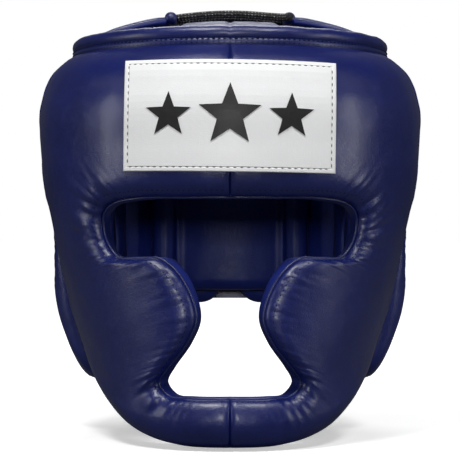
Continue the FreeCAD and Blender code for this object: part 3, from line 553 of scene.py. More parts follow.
def stitches(name, path, normals, pitch, length, width, material, body, start=0.0):
    """Copies of one dash along a path on a surface."""
    path = np.asarray(path, float)
    travelled = np.concatenate([[0], np.cumsum(np.linalg.norm(np.diff(path, axis=0), axis=1))])
    places = np.arange(start + pitch / 2, travelled[-1], pitch)
    points, faces = [], []
    for place in places:
        ends = [place - length / 2, place, place + length / 2]
        spine = np.array([[np.interp(e, travelled, path[:, k]) for k in range(3)] for e in ends])
        up = np.array([np.interp(place, travelled, normals[:, k]) for k in range(3)])
        up /= np.linalg.norm(up)
        along = spine[2] - spine[0]
        along /= max(np.linalg.norm(along), 1e-9)
        across = np.cross(up, along)
        first = len(points)
        for step, (centre, swell, lift) in enumerate(zip(spine, (0.45, 1.0, 0.45), (-0.2, 0.25, -0.2))):
            for k in range(DASH_ROUND):
                turn = 2 * math.pi * k / DASH_ROUND
                ring = across * math.cos(turn) * width / 2 + up * (math.sin(turn) * width / 2)
                points.append(centre + up * lift * width + ring * swell)
        for step in range(2):
            for k in range(DASH_ROUND):
                a, b = first + step * DASH_ROUND + k, first + step * DASH_ROUND + (k + 1) % DASH_ROUND
                faces.append((a, b, b + DASH_ROUND, a + DASH_ROUND))
        faces.append(tuple(first + k for k in reversed(range(DASH_ROUND))))
        faces.append(tuple(first + 2 * DASH_ROUND + k for k in range(DASH_ROUND)))
    made = make_object(name, points, faces, material)
    face_outwards(made)
    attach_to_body(made, body)
    print(name, len(places), "stitches")
    return made


def rod(name, path, radius, material, closed=False, sides=10, taper=0, uv=False):
    """A round cord along a path, with rounded ends, and a map of its length if asked."""
    path = np.asarray(path, float)
    count = len(path)
    ahead = np.roll(path, -1, 0) - np.roll(path, 1, 0) if closed else np.gradient(path, axis=0)
    ahead /= np.linalg.norm(ahead, axis=1, keepdims=True)
    side = np.cross(ahead[0], (0, 0, 1.0) if abs(ahead[0][2]) < 0.9 else (1.0, 0, 0))
    frames = []
    for direction in ahead:
        side = side - direction * np.dot(side, direction)
        side /= np.linalg.norm(side)
        frames.append((side.copy(), np.cross(direction, side)))
    swell = np.ones(count) if closed or not taper else None
    if swell is None:
        away = np.minimum(np.arange(count), count - 1 - np.arange(count)) / taper
        swell = np.sqrt(np.clip(1 - (1 - np.clip(away, 0, 1)) ** 2, 0.02, 1))
    net = np.array(
        [
            [
                p + (a * math.cos(t) + b * math.sin(t)) * radius * s
                for t in np.arange(sides) * 2 * math.pi / sides
            ]
            for p, (a, b), s in zip(path, frames, swell)
        ]
    )
    faces = net_faces(count, sides, closed, True)
    if not closed:
        faces.append(tuple(range(sides)))
        faces.append(tuple((count - 1) * sides + k for k in reversed(range(sides))))
    made = make_object(name, net, faces, material)
    if uv:
        travelled = np.concatenate([[0], np.cumsum(np.linalg.norm(np.diff(path, axis=0), axis=1))])
        layer = made.data.uv_layers.new(name="along")
        for loop in made.data.loops:
            row, column = divmod(loop.vertex_index, sides)
            layer.data[loop.index].uv = (travelled[row] * 1.6, column / sides * 8 * math.pi)
    shape = bmesh.new()
    shape.from_mesh(made.data)
    bmesh.ops.recalc_face_normals(shape, faces=shape.faces)
    shape.to_mesh(made.data)
    shape.free()
    return made


# %% [markdown]
# ## The face shell
# The shell is one padded ring round the eye, nose and mouth opening. Its leather is sewn to a gusset
# along the opening, so the padding swells between that seam and the outer edge. The net has a station
# every millimetre or so round the opening. At each one a closed row of points runs from the seam over the
# outside to the outer edge, back along the lining and through the gusset to the seam.

# %% The opening's outline and the outer edge
OPENING_HALF = [
    (0, 18.2), (27.4, 18.2), (54.8, 17.9), (72.3, 14.5), (77.8, 8.2), (76.3, -4.8), (68.3, -15.2),
    (54.3, -15.8), (41, -16.6), (27.5, -28.8), (20, -49), (25.5, -63), (37.6, -78), (42.6, -86),
    (36.6, -93), (24.6, -94), (0, -94),
]
SHELL_END_TURN = math.acos((CENTRE_Y + 6) / 123)
RIM_Z = 103.6
HALF_STATIONS = 250
EYE_CORNER = (77.0, 2.0)
MOUTH_CORNER = (42.0, -86.0)


def face_turn(x, z):
    """The angle round the head of a point of the outer surface seen at (x, z) from the front."""
    return np.arcsin(np.clip(x / (inner_width(z) + side_pad(z)), -1, 1))


half_inner = loop_through(OPENING_HALF, HALF_STATIONS + 1, closed=False)
JAW_EDGE = [
    (0, -121), (31, -120.4), (49, -117), (63, -111), (75, -100), (84, -86), (90, -68), (96.5, -50),
]


EDGE_SCALE = (110, 1)  # turns an angle round the head into millimetres, beside a height in millimetres
jaw_line = loop_through(JAW_EDGE, 200, closed=False)[::-1]
jaw_turns = np.minimum(face_turn(jaw_line[:, 0], jaw_line[:, 1]), SHELL_END_TURN)
edge_parts = {
    "top": np.stack([np.linspace(0, SHELL_END_TURN, 200), np.full(200, RIM_Z)], -1),
    "side": np.stack([np.full(200, SHELL_END_TURN), np.linspace(RIM_Z, -50, 200)], -1),
    "jaw": np.stack([jaw_turns, jaw_line[:, 1]], -1),
}
# which place of the outer edge each point of the opening's outline looks at: a share of the top edge, or
# a height
MATCHES = [
    (0, "top", 0.0), (1, "top", 0.33), (2, "top", 0.72), (3, "top", 1.0), (4, "side", 45), (5, "side", -4),
    (6, "side", -33), (7, "side", -45), (8, "jaw", -54), (9, "jaw", -66), (10, "jaw", -76), (11, "jaw", -87),
    (12, "jaw", -99), (13, "jaw", -109), (14, "jaw", -116.5), (15, "jaw", -120), (16, "jaw", -121),
]


def travelled_along(points, scale=(1, 1)):
    lengths = np.linalg.norm(np.diff(points * np.array(scale), axis=0), axis=1)
    return np.concatenate([[0], np.cumsum(lengths)])


whole_edge = np.vstack(list(edge_parts.values()))
edge_travel = travelled_along(whole_edge, EDGE_SCALE)
inner_travel = travelled_along(half_inner)
match_inner, match_outer = [], []
for point, part, where in MATCHES:
    gap = np.linalg.norm(half_inner - np.array(OPENING_HALF[point]), axis=1)
    match_inner.append(inner_travel[np.argmin(gap)])
    first = {"top": 0, "side": 200, "jaw": 400}[part]
    wanted = where * SHELL_END_TURN if part == "top" else where
    column = 0 if part == "top" else 1
    row = first + int(np.argmin(np.abs(edge_parts[part][:, column] - wanted)))
    match_outer.append(edge_travel[row])
matched = np.interp(inner_travel, match_inner, match_outer)
smooth_window = np.hanning(15)
smooth_window /= smooth_window.sum()
lead = np.concatenate([-matched[7:0:-1], matched, 2 * matched[-1] - matched[-2:-9:-1]])
matched = np.convolve(lead, smooth_window, "valid")
half_outer = np.stack([np.interp(matched, edge_travel, whole_edge[:, k]) for k in (0, 1)], -1)
half_inner_turn = np.stack([face_turn(half_inner[:, 0], half_inner[:, 1]), half_inner[:, 1]], -1)


def both_sides(half):
    """The left half's stations, then the right half's, as one closed ring."""
    mirrored = half[1:-1][::-1] * np.array([-1, 1])
    return np.vstack([half, mirrored])


ring_inner = both_sides(half_inner_turn)
ring_outer = both_sides(half_outer)
STATIONS = len(ring_inner)
print("face shell stations", STATIONS)

# %% Rows of one station
COVER_ROWS = 64
EDGE_ROWS = 7
LINING_ROWS = 22
GUSSET_ROWS = 9
OPENING_ROLL = 15.0
SEAM_DEPTH = 8.0
LINING_ROLL = 6.0

share = (np.linspace(0, 1, COVER_ROWS)) ** 1.25
station_gap = (ring_outer - ring_inner) * np.array([110, 1])
station_length = np.linalg.norm(station_gap, axis=1)
flat_x = (ring_inner[:, 0:1] + (ring_outer[:, 0:1] - ring_inner[:, 0:1]) * share) * 110
height = ring_inner[:, 1:2] + (ring_outer[:, 1:2] - ring_inner[:, 1:2]) * share
turn = ring_inner[:, 0:1] + (ring_outer[:, 0:1] - ring_inner[:, 0:1]) * share
from_seam = station_length[:, None] * share
from_edge = station_length[:, None] * (1 - share)
thickness = side_pad(height) * np.sin(turn) ** 2 + front_pad(height) * np.cos(turn) ** 2


def rolled(distance, radius):
    """How far a rounded edge falls away at a distance from it: 1 at the edge, 0 past the radius."""
    inwards = np.clip(1 - distance / radius, 0, 1)
    return 1 - np.sqrt(1 - inwards**2)


# %% How far each edge rolls in
on_top = (ring_outer[:, 1] > RIM_Z - 1)[:, None]
on_side = (np.abs(ring_outer[:, 0]) > SHELL_END_TURN - 0.01)[:, None] & ~on_top
edge_radius = np.where(on_top, 5.0, np.where(on_side, 9.0, 17.0))
edge_fall = np.where(on_top, 1.5, np.where(on_side, 7.0, 10.0))
blend_count = 17
kernel = np.hanning(blend_count + 2)[1:-1]
kernel /= kernel.sum()


def soften(ring_values):
    """Spreads a change from station to station, so that one edge turns gently into the next."""
    padded = np.concatenate([ring_values[-blend_count:], ring_values, ring_values[:blend_count]])
    return np.convolve(padded[:, 0], kernel, "same")[blend_count:-blend_count][:, None]


edge_radius = soften(edge_radius)
edge_fall = soften(edge_fall)

# %% Puckers
ring_front = on_face(ring_inner[:, 0], ring_inner[:, 1], 0)
ring_arc = np.concatenate([[0], np.cumsum(np.linalg.norm(np.diff(ring_front, axis=0), axis=1))])[:, None]
front_x = np.abs(ring_front[:, 0:1])
front_z = ring_front[:, 2:3]


def near(spot, reach):
    """1 at a spot of the opening's outline, fading to 0 past its reach."""
    distance = np.hypot(front_x - spot[0], front_z - spot[1])
    return np.exp(-((distance / reach) ** 2))


gathered = 1.25 * near(EYE_CORNER, 20) + 1.0 * near(MOUTH_CORNER, 15) + 0.28 * near((24, -36), 26) + 0.07
ridge = smooth_noise(np.repeat(ring_arc / 3.4, COVER_ROWS, 1), from_seam / 26, 3.1)
ridge += 0.5 * smooth_noise(np.repeat(ring_arc / 1.9, COVER_ROWS, 1), from_seam / 15, 9.7)
pucker = gathered * ridge * 1.5 * (from_seam / 5) * np.exp(1 - from_seam / 5.5) * (from_seam < 45)
swell = 0.55 * smooth_noise(flat_x / 30, height / 30, 5.5)
swell = swell + 0.22 * smooth_noise(flat_x / 11, height / 11, 7.5)
swell *= np.clip(from_seam / 12, 0, 1) * np.clip(from_edge / 12, 0, 1)

# %% The middle seam
MIDDLE_ROLL = 5.0
beside_middle = np.abs(on_face(turn, height, 0)[..., 0])
middle = 2.6 * rolled(beside_middle + 0.35, MIDDLE_ROLL)

# %% Cover, edge, lining and gusset
cover_fall = SEAM_DEPTH * rolled(from_seam, OPENING_ROLL) + edge_fall * rolled(from_edge, edge_radius)
cover_fall += middle - pucker - swell
cover = on_face(turn, height, cover_fall / thickness)
lining_share = np.linspace(1, 0, LINING_ROWS)
# at the eye corners the padding thins, so that the opening's wall runs straight back
CORNER_SETBACK = 0.24
at_corner = np.clip((np.abs(ring_inner[:, 0:1]) - 0.42) / 0.3, 0, 1)
at_corner = at_corner * np.exp(-((ring_inner[:, 1:2] / 24) ** 4))
inner_lip = ring_inner[:, 0:1] + np.sign(ring_inner[:, 0:1]) * CORNER_SETBACK * at_corner
lining_turn = inner_lip + (ring_outer[:, 0:1] - inner_lip) * lining_share
lining_height = ring_inner[:, 1:2] + (ring_outer[:, 1:2] - ring_inner[:, 1:2]) * lining_share
lining_fall = 3.5 * rolled(station_length[:, None] * lining_share, LINING_ROLL)
lining_fall += np.minimum(edge_fall, 8) * rolled(station_length[:, None] * (1 - lining_share), edge_radius)
lining_pad = side_pad(lining_height) * np.sin(lining_turn) ** 2
lining_pad = lining_pad + front_pad(lining_height) * np.cos(lining_turn) ** 2
lining = on_face(lining_turn, lining_height, 1 - lining_fall / lining_pad)


def bridge(first, last, rows, bulge):
    """Rows between two edges that swell sideways by bulge, away from the pad's middle."""
    steps = np.linspace(0, 1, rows + 2)[1:-1][None, :, None]
    rows_between = first[:, None] + (last - first)[:, None] * steps
    return rows_between + bulge[:, None] * np.sin(steps * math.pi)


outwards = cover[:, -1] - cover[:, -6]
outwards /= np.linalg.norm(outwards, axis=1, keepdims=True)
edge_rows = bridge(cover[:, -1], lining[:, 0], EDGE_ROWS, outwards * np.where(on_top | on_side, 0.0, 2.5))
inwards = cover[:, 0] - cover[:, 5]
inwards /= np.linalg.norm(inwards, axis=1, keepdims=True)
gusset = bridge(lining[:, -1], cover[:, 0], GUSSET_ROWS, inwards * 1.6)
shell_net = np.concatenate([cover, edge_rows, lining, gusset], 1)
shell_normals = net_normals(shell_net, True, True)
if np.mean(np.sum(shell_normals[:, 30] * cover[:, 30] * np.array([1, 1, 0]), axis=1)) < 0:
    shell_normals = -shell_normals
print("face shell net", shell_net.shape)

# %% Cut the net into its leather pieces
SKIN = 1.3
COVER_END = COVER_ROWS + EDGE_ROWS
LINING_END = COVER_END + LINING_ROWS
TOTAL_ROWS = shell_net.shape[1]
half_left = np.arange(0, HALF_STATIONS + 1)
half_right = np.concatenate([np.arange(HALF_STATIONS, STATIONS), [0]])
for side, stations in (("left", half_left), ("right", half_right)):
    rows = np.arange(0, COVER_END + 1)
    piece = sheet_piece(
        f"face_cover_{side}_skin",
        shell_net[np.ix_(stations, rows)],
        shell_normals[np.ix_(stations, rows)],
        SKIN,
        shell_leather,
    )
    attach(piece, "shell", f"face_cover_{side}")
rows = np.arange(COVER_END, LINING_END)
lining_piece = sheet_piece(
    "face_lining_skin", shell_net[:, rows], shell_normals[:, rows], SKIN, lightened_lining_leather, closed_u=True
)
attach(lining_piece, "shell", "face_lining")
rows = np.concatenate([np.arange(LINING_END - 1, TOTAL_ROWS), [0]])
gusset_piece = sheet_piece(
    "opening_gusset", shell_net[:, rows], shell_normals[:, rows], SKIN, lightened_lining_leather, closed_u=True
)
attach(gusset_piece, "shell", "opening_binding")

# %% Foam cores under the skins
CORE_INSET = SKIN + 0.5


def core(name, stations, node):
    """A foam core: the shell's rows between two stations, drawn in under the leather, with closed ends."""
    net = shell_net[stations] - shell_normals[stations] * CORE_INSET
    count, columns = net.shape[:2]
    faces = net_faces(count, columns, False, True)
    faces.append(tuple(range(columns)))
    faces.append(tuple((count - 1) * columns + k for k in reversed(range(columns))))
    made = face_outwards(make_object(name, net, faces, foam_cells))
    attach(made, "shell", node)
    return made


every_other = 3
EYE_SPLIT = int(HALF_STATIONS * 0.30)
CHIN_SPLIT = int(HALF_STATIONS * 0.86)
core("forehead_core", np.arange(-EYE_SPLIT, EYE_SPLIT + 1, every_other) % STATIONS, "forehead_foam")
core("cheek_core_left", np.arange(EYE_SPLIT + 2, CHIN_SPLIT - 1, every_other), "cheek_foam_left")
core("cheek_core_right", STATIONS - np.arange(EYE_SPLIT + 2, CHIN_SPLIT - 1, every_other), "cheek_foam_right")
core("chin_core", np.arange(CHIN_SPLIT + 1, STATIONS - CHIN_SPLIT, every_other), "chin_foam")

# %% [markdown]
# ## Seams of the face shell
# Along the opening the cover is turned in over the gusset, and a row of stitches runs beside the fold.
# The fold is a thin bead that catches the light.

# %% Bead and stitches round the opening
bead_path = shell_net[:, 0] + shell_normals[:, 0] * 0.1
bead = rod("opening_bead", bead_path, 0.85, trim_leather, closed=True, sides=8)
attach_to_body(bead, "shell")
SEAM_ROW = 5
line = shell_net[:, SEAM_ROW] - shell_normals[:, SEAM_ROW] * 0.2
stitches("opening_stitches", line, shell_normals[:, SEAM_ROW], 3.1, 1.9, 0.7, shade_darkened_navy_thread, "shell")

# %% [markdown]
# ## Pads with a plain outline
# The back pad, the wings, the crown flaps and the tongue are stuffed panels. Each is two nets, outside
# and inside, that meet along a rounded outline. Square rings drawn in to a rounded rectangle keep the net
# even to its corners.


# %% A stuffed panel
def panel(place, low, high, corner, thickness, count, roll, relief=None):
    """The outside and inside nets of a panel; place(u, v, depth) is a point depth inside its outer face."""
    low, high = np.array(low, float), np.array(high, float)
    half, middle = (high - low) / 2, (high + low) / 2
    ease = lambda n: np.sin(np.linspace(-math.pi / 2, math.pi / 2, n)) * 0.35 + np.linspace(-1, 1, n) * 0.65
    a, b = np.meshgrid(ease(count[0]), ease(count[1]), indexing="ij")
    ring = np.maximum(np.abs(a), np.abs(b))
    safe = np.maximum(ring, 1e-6)
    on_square = np.stack([a / safe, b / safe], -1) * half
    core_half = np.maximum(half - corner, 1e-3)
    nearest = np.clip(on_square, -core_half, core_half)
    out = on_square - nearest
    reach = np.linalg.norm(out, axis=-1, keepdims=True)
    past = (np.abs(on_square) > core_half).all(-1, keepdims=True)
    rounded = np.where(past, nearest + out / np.maximum(reach, 1e-6) * corner, on_square)
    uv = middle + rounded * ring[..., None]
    from_edge = (1 - ring) * half.min()
    fall = thickness / 2 * rolled(from_edge, roll)
    lift = relief(uv[..., 0], uv[..., 1], from_edge) if relief else 0
    outer = place(uv[..., 0], uv[..., 1], fall - lift)
    inner = place(uv[..., 0], uv[..., 1], thickness - fall + lift * 0.8)
    return outer, inner


def panel_normals(net, other):
    normals = net_normals(net, False, False)
    flip = np.sign(np.mean(np.sum(normals * (net - other), axis=-1)))
    return normals * flip


def wrap(name, outer, inner, material):
    """One closed piece from a panel's two nets, which meet at its outline."""
    faces = two_sided_faces(*outer.shape[:2])
    made = make_object(name, np.concatenate([outer.reshape(-1, 3), inner.reshape(-1, 3)]), faces, material)
    return face_outwards(made, 0.0003)


VOXEL = 5 * MM
PRESSURE = 4
SIM_FRAMES = 20


def inflated(name, nets, faces, cap):
    """Blows a closed pad up as cloth under pressure, and moves the nets' points with it, cap at most."""
    points = np.concatenate([net.reshape(-1, 3) for net in nets])
    pad = face_outwards(make_object(name, points, faces, foam_cells), 0.0003)
    bpy.ops.object.select_all(action="DESELECT")
    pad.select_set(True)
    bpy.context.view_layer.objects.active = pad
    voxels = pad.modifiers.new("voxels", "REMESH")
    voxels.mode = "VOXEL"
    voxels.voxel_size = VOXEL
    bpy.ops.object.modifier_apply(modifier=voxels.name)
    before = np.array([v.co for v in pad.data.vertices]) / MM
    cloth = pad.modifiers.new("air", "CLOTH")
    cloth.settings.use_pressure = True
    cloth.settings.uniform_pressure_force = PRESSURE
    cloth.settings.effector_weights.gravity = 0
    cloth.point_cache.frame_start = 1
    cloth.point_cache.frame_end = SIM_FRAMES
    for frame_number in range(1, SIM_FRAMES + 1):
        bpy.context.scene.frame_set(frame_number)
    blown = pad.evaluated_get(bpy.context.evaluated_depsgraph_get())
    moved = np.array([v.co for v in blown.data.vertices]) / MM - before
    reach = np.linalg.norm(moved, axis=1, keepdims=True)
    moved *= np.minimum(1, cap / np.maximum(reach, 1e-6))
    print(f"{name}: {len(before)} points, blown up by {np.linalg.norm(moved, axis=1).mean():.2f} mm")
    bpy.data.objects.remove(pad)
    bpy.context.scene.frame_set(1)
    near_by = KDTree(len(before))
    for number, point in enumerate(before):
        near_by.insert(point, number)
    near_by.balance()
    results = []
    for net in nets:
        shift = np.zeros((net.reshape(-1, 3).shape[0], 3))
        for row, point in enumerate(net.reshape(-1, 3)):
            found = near_by.find_n(point, 8)
            weights = np.array([1 / (distance + 1.5) for _, _, distance in found])
            shift[row] = weights @ moved[[number for _, number, _ in found]] / weights.sum()
        results.append(net + shift.reshape(net.shape))
    return results


def two_sided_faces(rows, columns):
    """The faces of a closed piece made of an outer and an inner net."""
    faces = net_faces(rows, columns, False, False)
    return faces + [tuple(rows * columns + k for k in reversed(face)) for face in faces]


def skins(names, body, outer, inner, slots, materials):
    """A pad's outer and inner skin, each riding on a body and standing for the CAD node it is named after."""
    for name, net, other, slot, material in zip(names, (outer, inner), (inner, outer), slots, materials):
        made = sheet_piece(name + "_skin", net, panel_normals(net, other), SKIN, material)
        attach(made, body, name)


def stuffed(names, body, place, low, high, corner, thickness, count, roll, relief, slots, materials, cap=0):
    """A pad's outer skin, inner skin and foam core, riding on a body."""
    outer, inner = panel(place, low, high, corner, thickness, count, roll, relief)
    if cap:
        outer, inner = inflated(names[0] + "_air", [outer, inner], two_sided_faces(*outer.shape[:2]), cap)
    skins(names[:2], body, outer, inner, slots, materials)
    inset = np.array([CORE_INSET, CORE_INSET])
    low_core, high_core = np.array(low) + inset * np.sign(high[0] - low[0]), np.array(high) - inset
    small = (max(count[0] // 2, 8), max(count[1] // 2, 8))
    shifted = lambda u, v, depth: place(u, v, depth + CORE_INSET)
    nets = panel(shifted, low_core, high_core, corner, thickness - 2 * CORE_INSET, small, roll, relief)
    made = wrap(names[2] + "_core", *nets, foam_cells)
    attach(made, body, names[2])
    return outer, inner


# %% [markdown]
# ## Flat leather pieces
# A plate of leather is modelled flat, in millimetres: a plane with rounded corners is extruded, its edge
# is chamfered and a sewn groove is pressed in beside it. It is cut into narrow strips, so that it can
# bend, and laid on the curved padding.


# %% Leather plates
CHAMFER = 0.4
GROOVE_HALF_WIDTH = 0.5
GROOVE_DEPTH = 0.3


def cut_into_strips(width, height, step):
    """Bisects all of the mesh in edit mode along both of its directions."""
    for across, length in (((1, 0, 0), width), ((0, 1, 0), height)):
        for place in np.arange(-length / 2 + step, length / 2 - step / 2, step):
            bpy.ops.mesh.select_all(action="SELECT")
            bpy.ops.mesh.bisect(plane_co=[place * c for c in across], plane_no=across)


def raise_plate(thickness):
    """Extrudes the selected flat face and chamfers its upper edge."""
    bpy.ops.mesh.extrude_region_move(TRANSFORM_OT_translate={"value": (0, 0, thickness - CHAMFER)})
    bpy.ops.mesh.inset(thickness=CHAMFER, depth=CHAMFER)


def lay_down(plate, thickness, centre, place, material):
    """Moves each point of a flat plate to its place on a curved face."""
    bpy.ops.object.mode_set(mode="OBJECT")
    flat = np.array([v.co for v in plate.data.vertices])
    laid = place(flat[:, 0] + centre[0], flat[:, 1] + centre[1], thickness - flat[:, 2]) * MM
    plate.data.vertices.foreach_set("co", laid.ravel())
    plate.data.materials.append(material)
    return face_outwards(plate)


def leather_plate(name, width, height, thickness, corner, groove, step, centre, place, material):
    bpy.ops.object.select_all(action="DESELECT")
    bpy.ops.mesh.primitive_plane_add(size=1, location=(0, 0, 0))
    plate = bpy.context.object
    plate.name = name
    bpy.ops.object.mode_set(mode="EDIT")
    bpy.ops.mesh.select_all(action="SELECT")
    bpy.ops.transform.resize(value=(width, height, 1))
    if corner:
        bpy.ops.mesh.bevel(offset=corner, segments=5, affect="VERTICES")
        bpy.ops.mesh.select_all(action="SELECT")
    raise_plate(thickness)
    bpy.ops.mesh.inset(thickness=groove - CHAMFER - GROOVE_HALF_WIDTH)
    bpy.ops.mesh.inset(thickness=GROOVE_HALF_WIDTH, depth=-GROOVE_DEPTH)
    bpy.ops.mesh.inset(thickness=GROOVE_HALF_WIDTH, depth=GROOVE_DEPTH)
    cut_into_strips(width, height, step)
    return lay_down(plate, thickness, centre, place, material)


# %% [markdown]
# ## Ear pads
# Each ear pad is a ring of padding round the ear hole, behind the face shell. It is made as the shell is:
# stations round the hole, and a closed row of points at each.

# %% Ear pad net
ear_low, ear_high = corners_of("ear_foam_left")
hole_low, hole_high = corners_of("ear_hole_binding_left")
EAR_STATIONS = 240
EAR_FRONT_Y = -5.4
hole_middle = (hole_low + hole_high)[1:] / 2
hole_half = (hole_high - hole_low)[1:] / 2
angles = np.linspace(0, 2 * math.pi, EAR_STATIONS, endpoint=False)
hole_ring = hole_middle + np.stack([np.sin(angles), np.cos(angles)], -1) * hole_half
EAR_CORNERS = [  # (y, z, radius) from the top front corner, round the rear to the lower front
    (EAR_FRONT_Y, RIM_Z, 3),
    (ear_high[1], RIM_Z, 6),
    (ear_high[1], ear_low[2], 30),
    (EAR_FRONT_Y, ear_low[2], 14),
]


def rounded_outline(corners, steps=10):
    """A closed outline with an arc at each corner."""
    points = []
    for k, (y, z, radius) in enumerate(corners):
        here = np.array([y, z])
        before = np.array(corners[k - 1][:2]) - here
        after = np.array(corners[(k + 1) % len(corners)][:2]) - here
        before, after = before / np.linalg.norm(before), after / np.linalg.norm(after)
        centre = here + (before + after) * radius
        for t in np.linspace(0, math.pi / 2, steps):
            points.append(centre - after * radius * math.cos(t) - before * radius * math.sin(t))
    return np.array(points)


def cast_outline(outline, middle, directions):
    """Where rays from the middle meet an outline, one for each direction."""
    found = []
    loop = np.vstack([outline, outline[:1]])
    for direction in directions:
        best = None
        for a, b in zip(loop, loop[1:]):
            matrix = np.array([direction, a - b]).T
            if abs(np.linalg.det(matrix)) < 1e-9:
                continue
            far, share = np.linalg.solve(matrix, a - middle)
            if far > 0 and -1e-9 <= share <= 1 + 1e-9 and (best is None or far < best):
                best = far
        found.append(middle + direction * best)
    return np.array(found)


ear_outline = rounded_outline(EAR_CORNERS)
wide = np.stack([np.sin(angles) * 0.62, np.cos(angles)], -1)
wide /= np.linalg.norm(wide, axis=1, keepdims=True)
ear_ring = cast_outline(ear_outline, hole_middle, wide)
ear_wrapped = [np.concatenate([c[-2:], c, c[:2]]) for c in ear_ring.T]
ear_ring = np.stack([np.convolve(c, np.ones(3) / 3, "same")[2:-2] for c in ear_wrapped], -1)

# %% Ear pad pieces
EAR_COVER_ROWS, EAR_EDGE_ROWS, EAR_LINING_ROWS, EAR_GUSSET_ROWS = 34, 6, 14, 8


def ear_net():
    share = np.linspace(0, 1, EAR_COVER_ROWS)
    spot = hole_ring[:, None] + (ear_ring - hole_ring)[:, None] * share[None, :, None]
    length = np.linalg.norm(ear_ring - hole_ring, axis=1)[:, None]
    top = np.clip((ear_ring[:, 1:2] - 90) / 12, 0, 1)
    outer_fall = 11 * (1 - top) + 1.5 * top
    outer_roll = 19 * (1 - top) + 5 * top
    thick = on_ear(spot[..., 0], spot[..., 1], 0)[..., 0] - on_ear(spot[..., 0], spot[..., 1], 1)[..., 0]
    fall = 9 * rolled(length * share, 16) + outer_fall * rolled(length * (1 - share), outer_roll)
    lumps = 0.8 * smooth_noise(spot[..., 0] / 16, spot[..., 1] / 26, 2.2)
    creases = 0.8 * smooth_noise(angles[:, None] * 9 + share * 0, length * share / 22, 4.4)
    creases = creases * np.exp(-((length * share - 6) / 6) ** 2)
    off_edge = 1 - rolled(length * (1 - share), outer_roll)
    fall -= (lumps * np.clip(length * share / 10, 0, 1) + creases) * off_edge
    cover = on_ear(spot[..., 0], spot[..., 1], np.clip(fall / thick, -0.2, 0.5))
    back_share = np.linspace(1, 0, EAR_LINING_ROWS)
    spot = hole_ring[:, None] + (ear_ring - hole_ring)[:, None] * back_share[None, :, None]
    edge_roll = rolled(length * (1 - back_share), 10)
    fall = 3 * rolled(length * back_share, 6) + np.minimum(outer_fall, 6) * edge_roll
    thick = on_ear(spot[..., 0], spot[..., 1], 0)[..., 0] - on_ear(spot[..., 0], spot[..., 1], 1)[..., 0]
    lining = on_ear(spot[..., 0], spot[..., 1], 1 - fall / thick)
    edge = bridge(cover[:, -1], lining[:, 0], EAR_EDGE_ROWS, np.zeros((EAR_STATIONS, 3)))
    gusset = bridge(lining[:, -1], cover[:, 0], EAR_GUSSET_ROWS, np.zeros((EAR_STATIONS, 3)))
    return np.concatenate([cover, edge, lining, gusset], 1)


left_ear = ear_net()
(left_ear,) = inflated("ear_pad_air", [left_ear], net_faces(*left_ear.shape[:2], True, True), 2.5)
cover_end = EAR_COVER_ROWS + EAR_EDGE_ROWS
lining_end = cover_end + EAR_LINING_ROWS
for side, sign in (("left", 1), ("right", -1)):
    net = left_ear * np.array([sign, 1, 1])
    normals = net_normals(net, True, True)
    if np.mean(normals[:, 15, 0]) * sign < 0:
        normals = -normals
    rows_of = {
        f"ear_cover_{side}": (np.arange(cover_end + 1), shell_leather, "shell"),
        f"ear_lining_{side}": (np.arange(cover_end, lining_end), lightened_lining_leather, "lining"),
        f"ear_hole_binding_{side}": (
            np.append(np.arange(lining_end - 1, net.shape[1]), 0), trim_leather, "binding"
        ),
    }
    for name, (rows, material, slot) in rows_of.items():
        made = sheet_piece(name + "_skin", net[:, rows], normals[:, rows], SKIN, material, closed_u=True)
        attach(made, "shell", name)
    inset = (net - normals * CORE_INSET)[::3, ::2]
    made = face_outwards(
        make_object(f"ear_core_{side}", inset, net_faces(*inset.shape[:2], True, True), foam_cells)
    )
    attach(made, "shell", f"ear_foam_{side}")
    line, line_normals = [np.vstack([rows[:, 4], rows[:1, 4]]) for rows in (net, normals)]
    stitches(f"ear_hole_stitches_{side}", line, line_normals, 3.2, 1.9, 0.7, shade_darkened_navy_thread, "shell")

# %% [markdown]
# ## Rim
# The shell's top edge is closed by a flat leather strip, stitched twice, and a corded roll lies on it.

# %% Rim strip
rim_low, rim_high = corners_of("rim_binding")
rim_half_width, rim_reach = rim_high[0], -rim_low[1]
rim_end = math.acos((CENTRE_Y - rim_high[1]) / (rim_reach + CENTRE_Y))
rim_turns = np.linspace(-rim_end, rim_end, 320)


def on_rim(turns, inward, z):
    """A point of the top edge, inward of the shell's outer top edge."""
    x = (rim_half_width - inward) * np.sin(turns)
    y = CENTRE_Y - (rim_reach + CENTRE_Y - inward) * np.cos(turns)
    return np.stack([x, y, np.broadcast_to(z, x.shape)], -1)


STRIP_SECTION = [  # (inward, height over the top edge)
    (3.4, -1.4), (2.4, 0.2), (2.2, 2.0), (2.8, 3.6), (4.6, 4.3), (8, 3.8), (12, 2.8), (18, 2.2), (19.6, 0.8),
    (19.4, -0.5), (12, -0.6), (6, -1.0),
]
section = loop_through(STRIP_SECTION, 40)
strip = np.stack([on_rim(rim_turns, inward, RIM_Z + up) for inward, up in section], 1)
along, across = np.broadcast_arrays(rim_turns[:, None] * 14, section[:, 0] * 0.1)
strip[..., 2] += 0.25 * smooth_noise(along, across, 8.8)
faces = net_faces(*strip.shape[:2], False, True)
columns = strip.shape[1]
last_row = (len(rim_turns) - 1) * columns
faces += [tuple(range(columns)), tuple(last_row + k for k in reversed(range(columns)))]
rim_strip = face_outwards(make_object("rim_strip", strip, faces, trim_leather))
attach(rim_strip, "shell", "rim_binding")
out_normals = on_rim(rim_turns, 0, 0) - on_rim(rim_turns, 5, 0)
for name, inward, up in (("upper", 2.5, 3.2), ("lower", 2.4, 1.2)):
    line = on_rim(rim_turns, inward, RIM_Z + up)
    stitches(f"rim_stitches_{name}", line, out_normals, 3.1, 1.9, 0.7, shade_darkened_navy_thread, "shell")

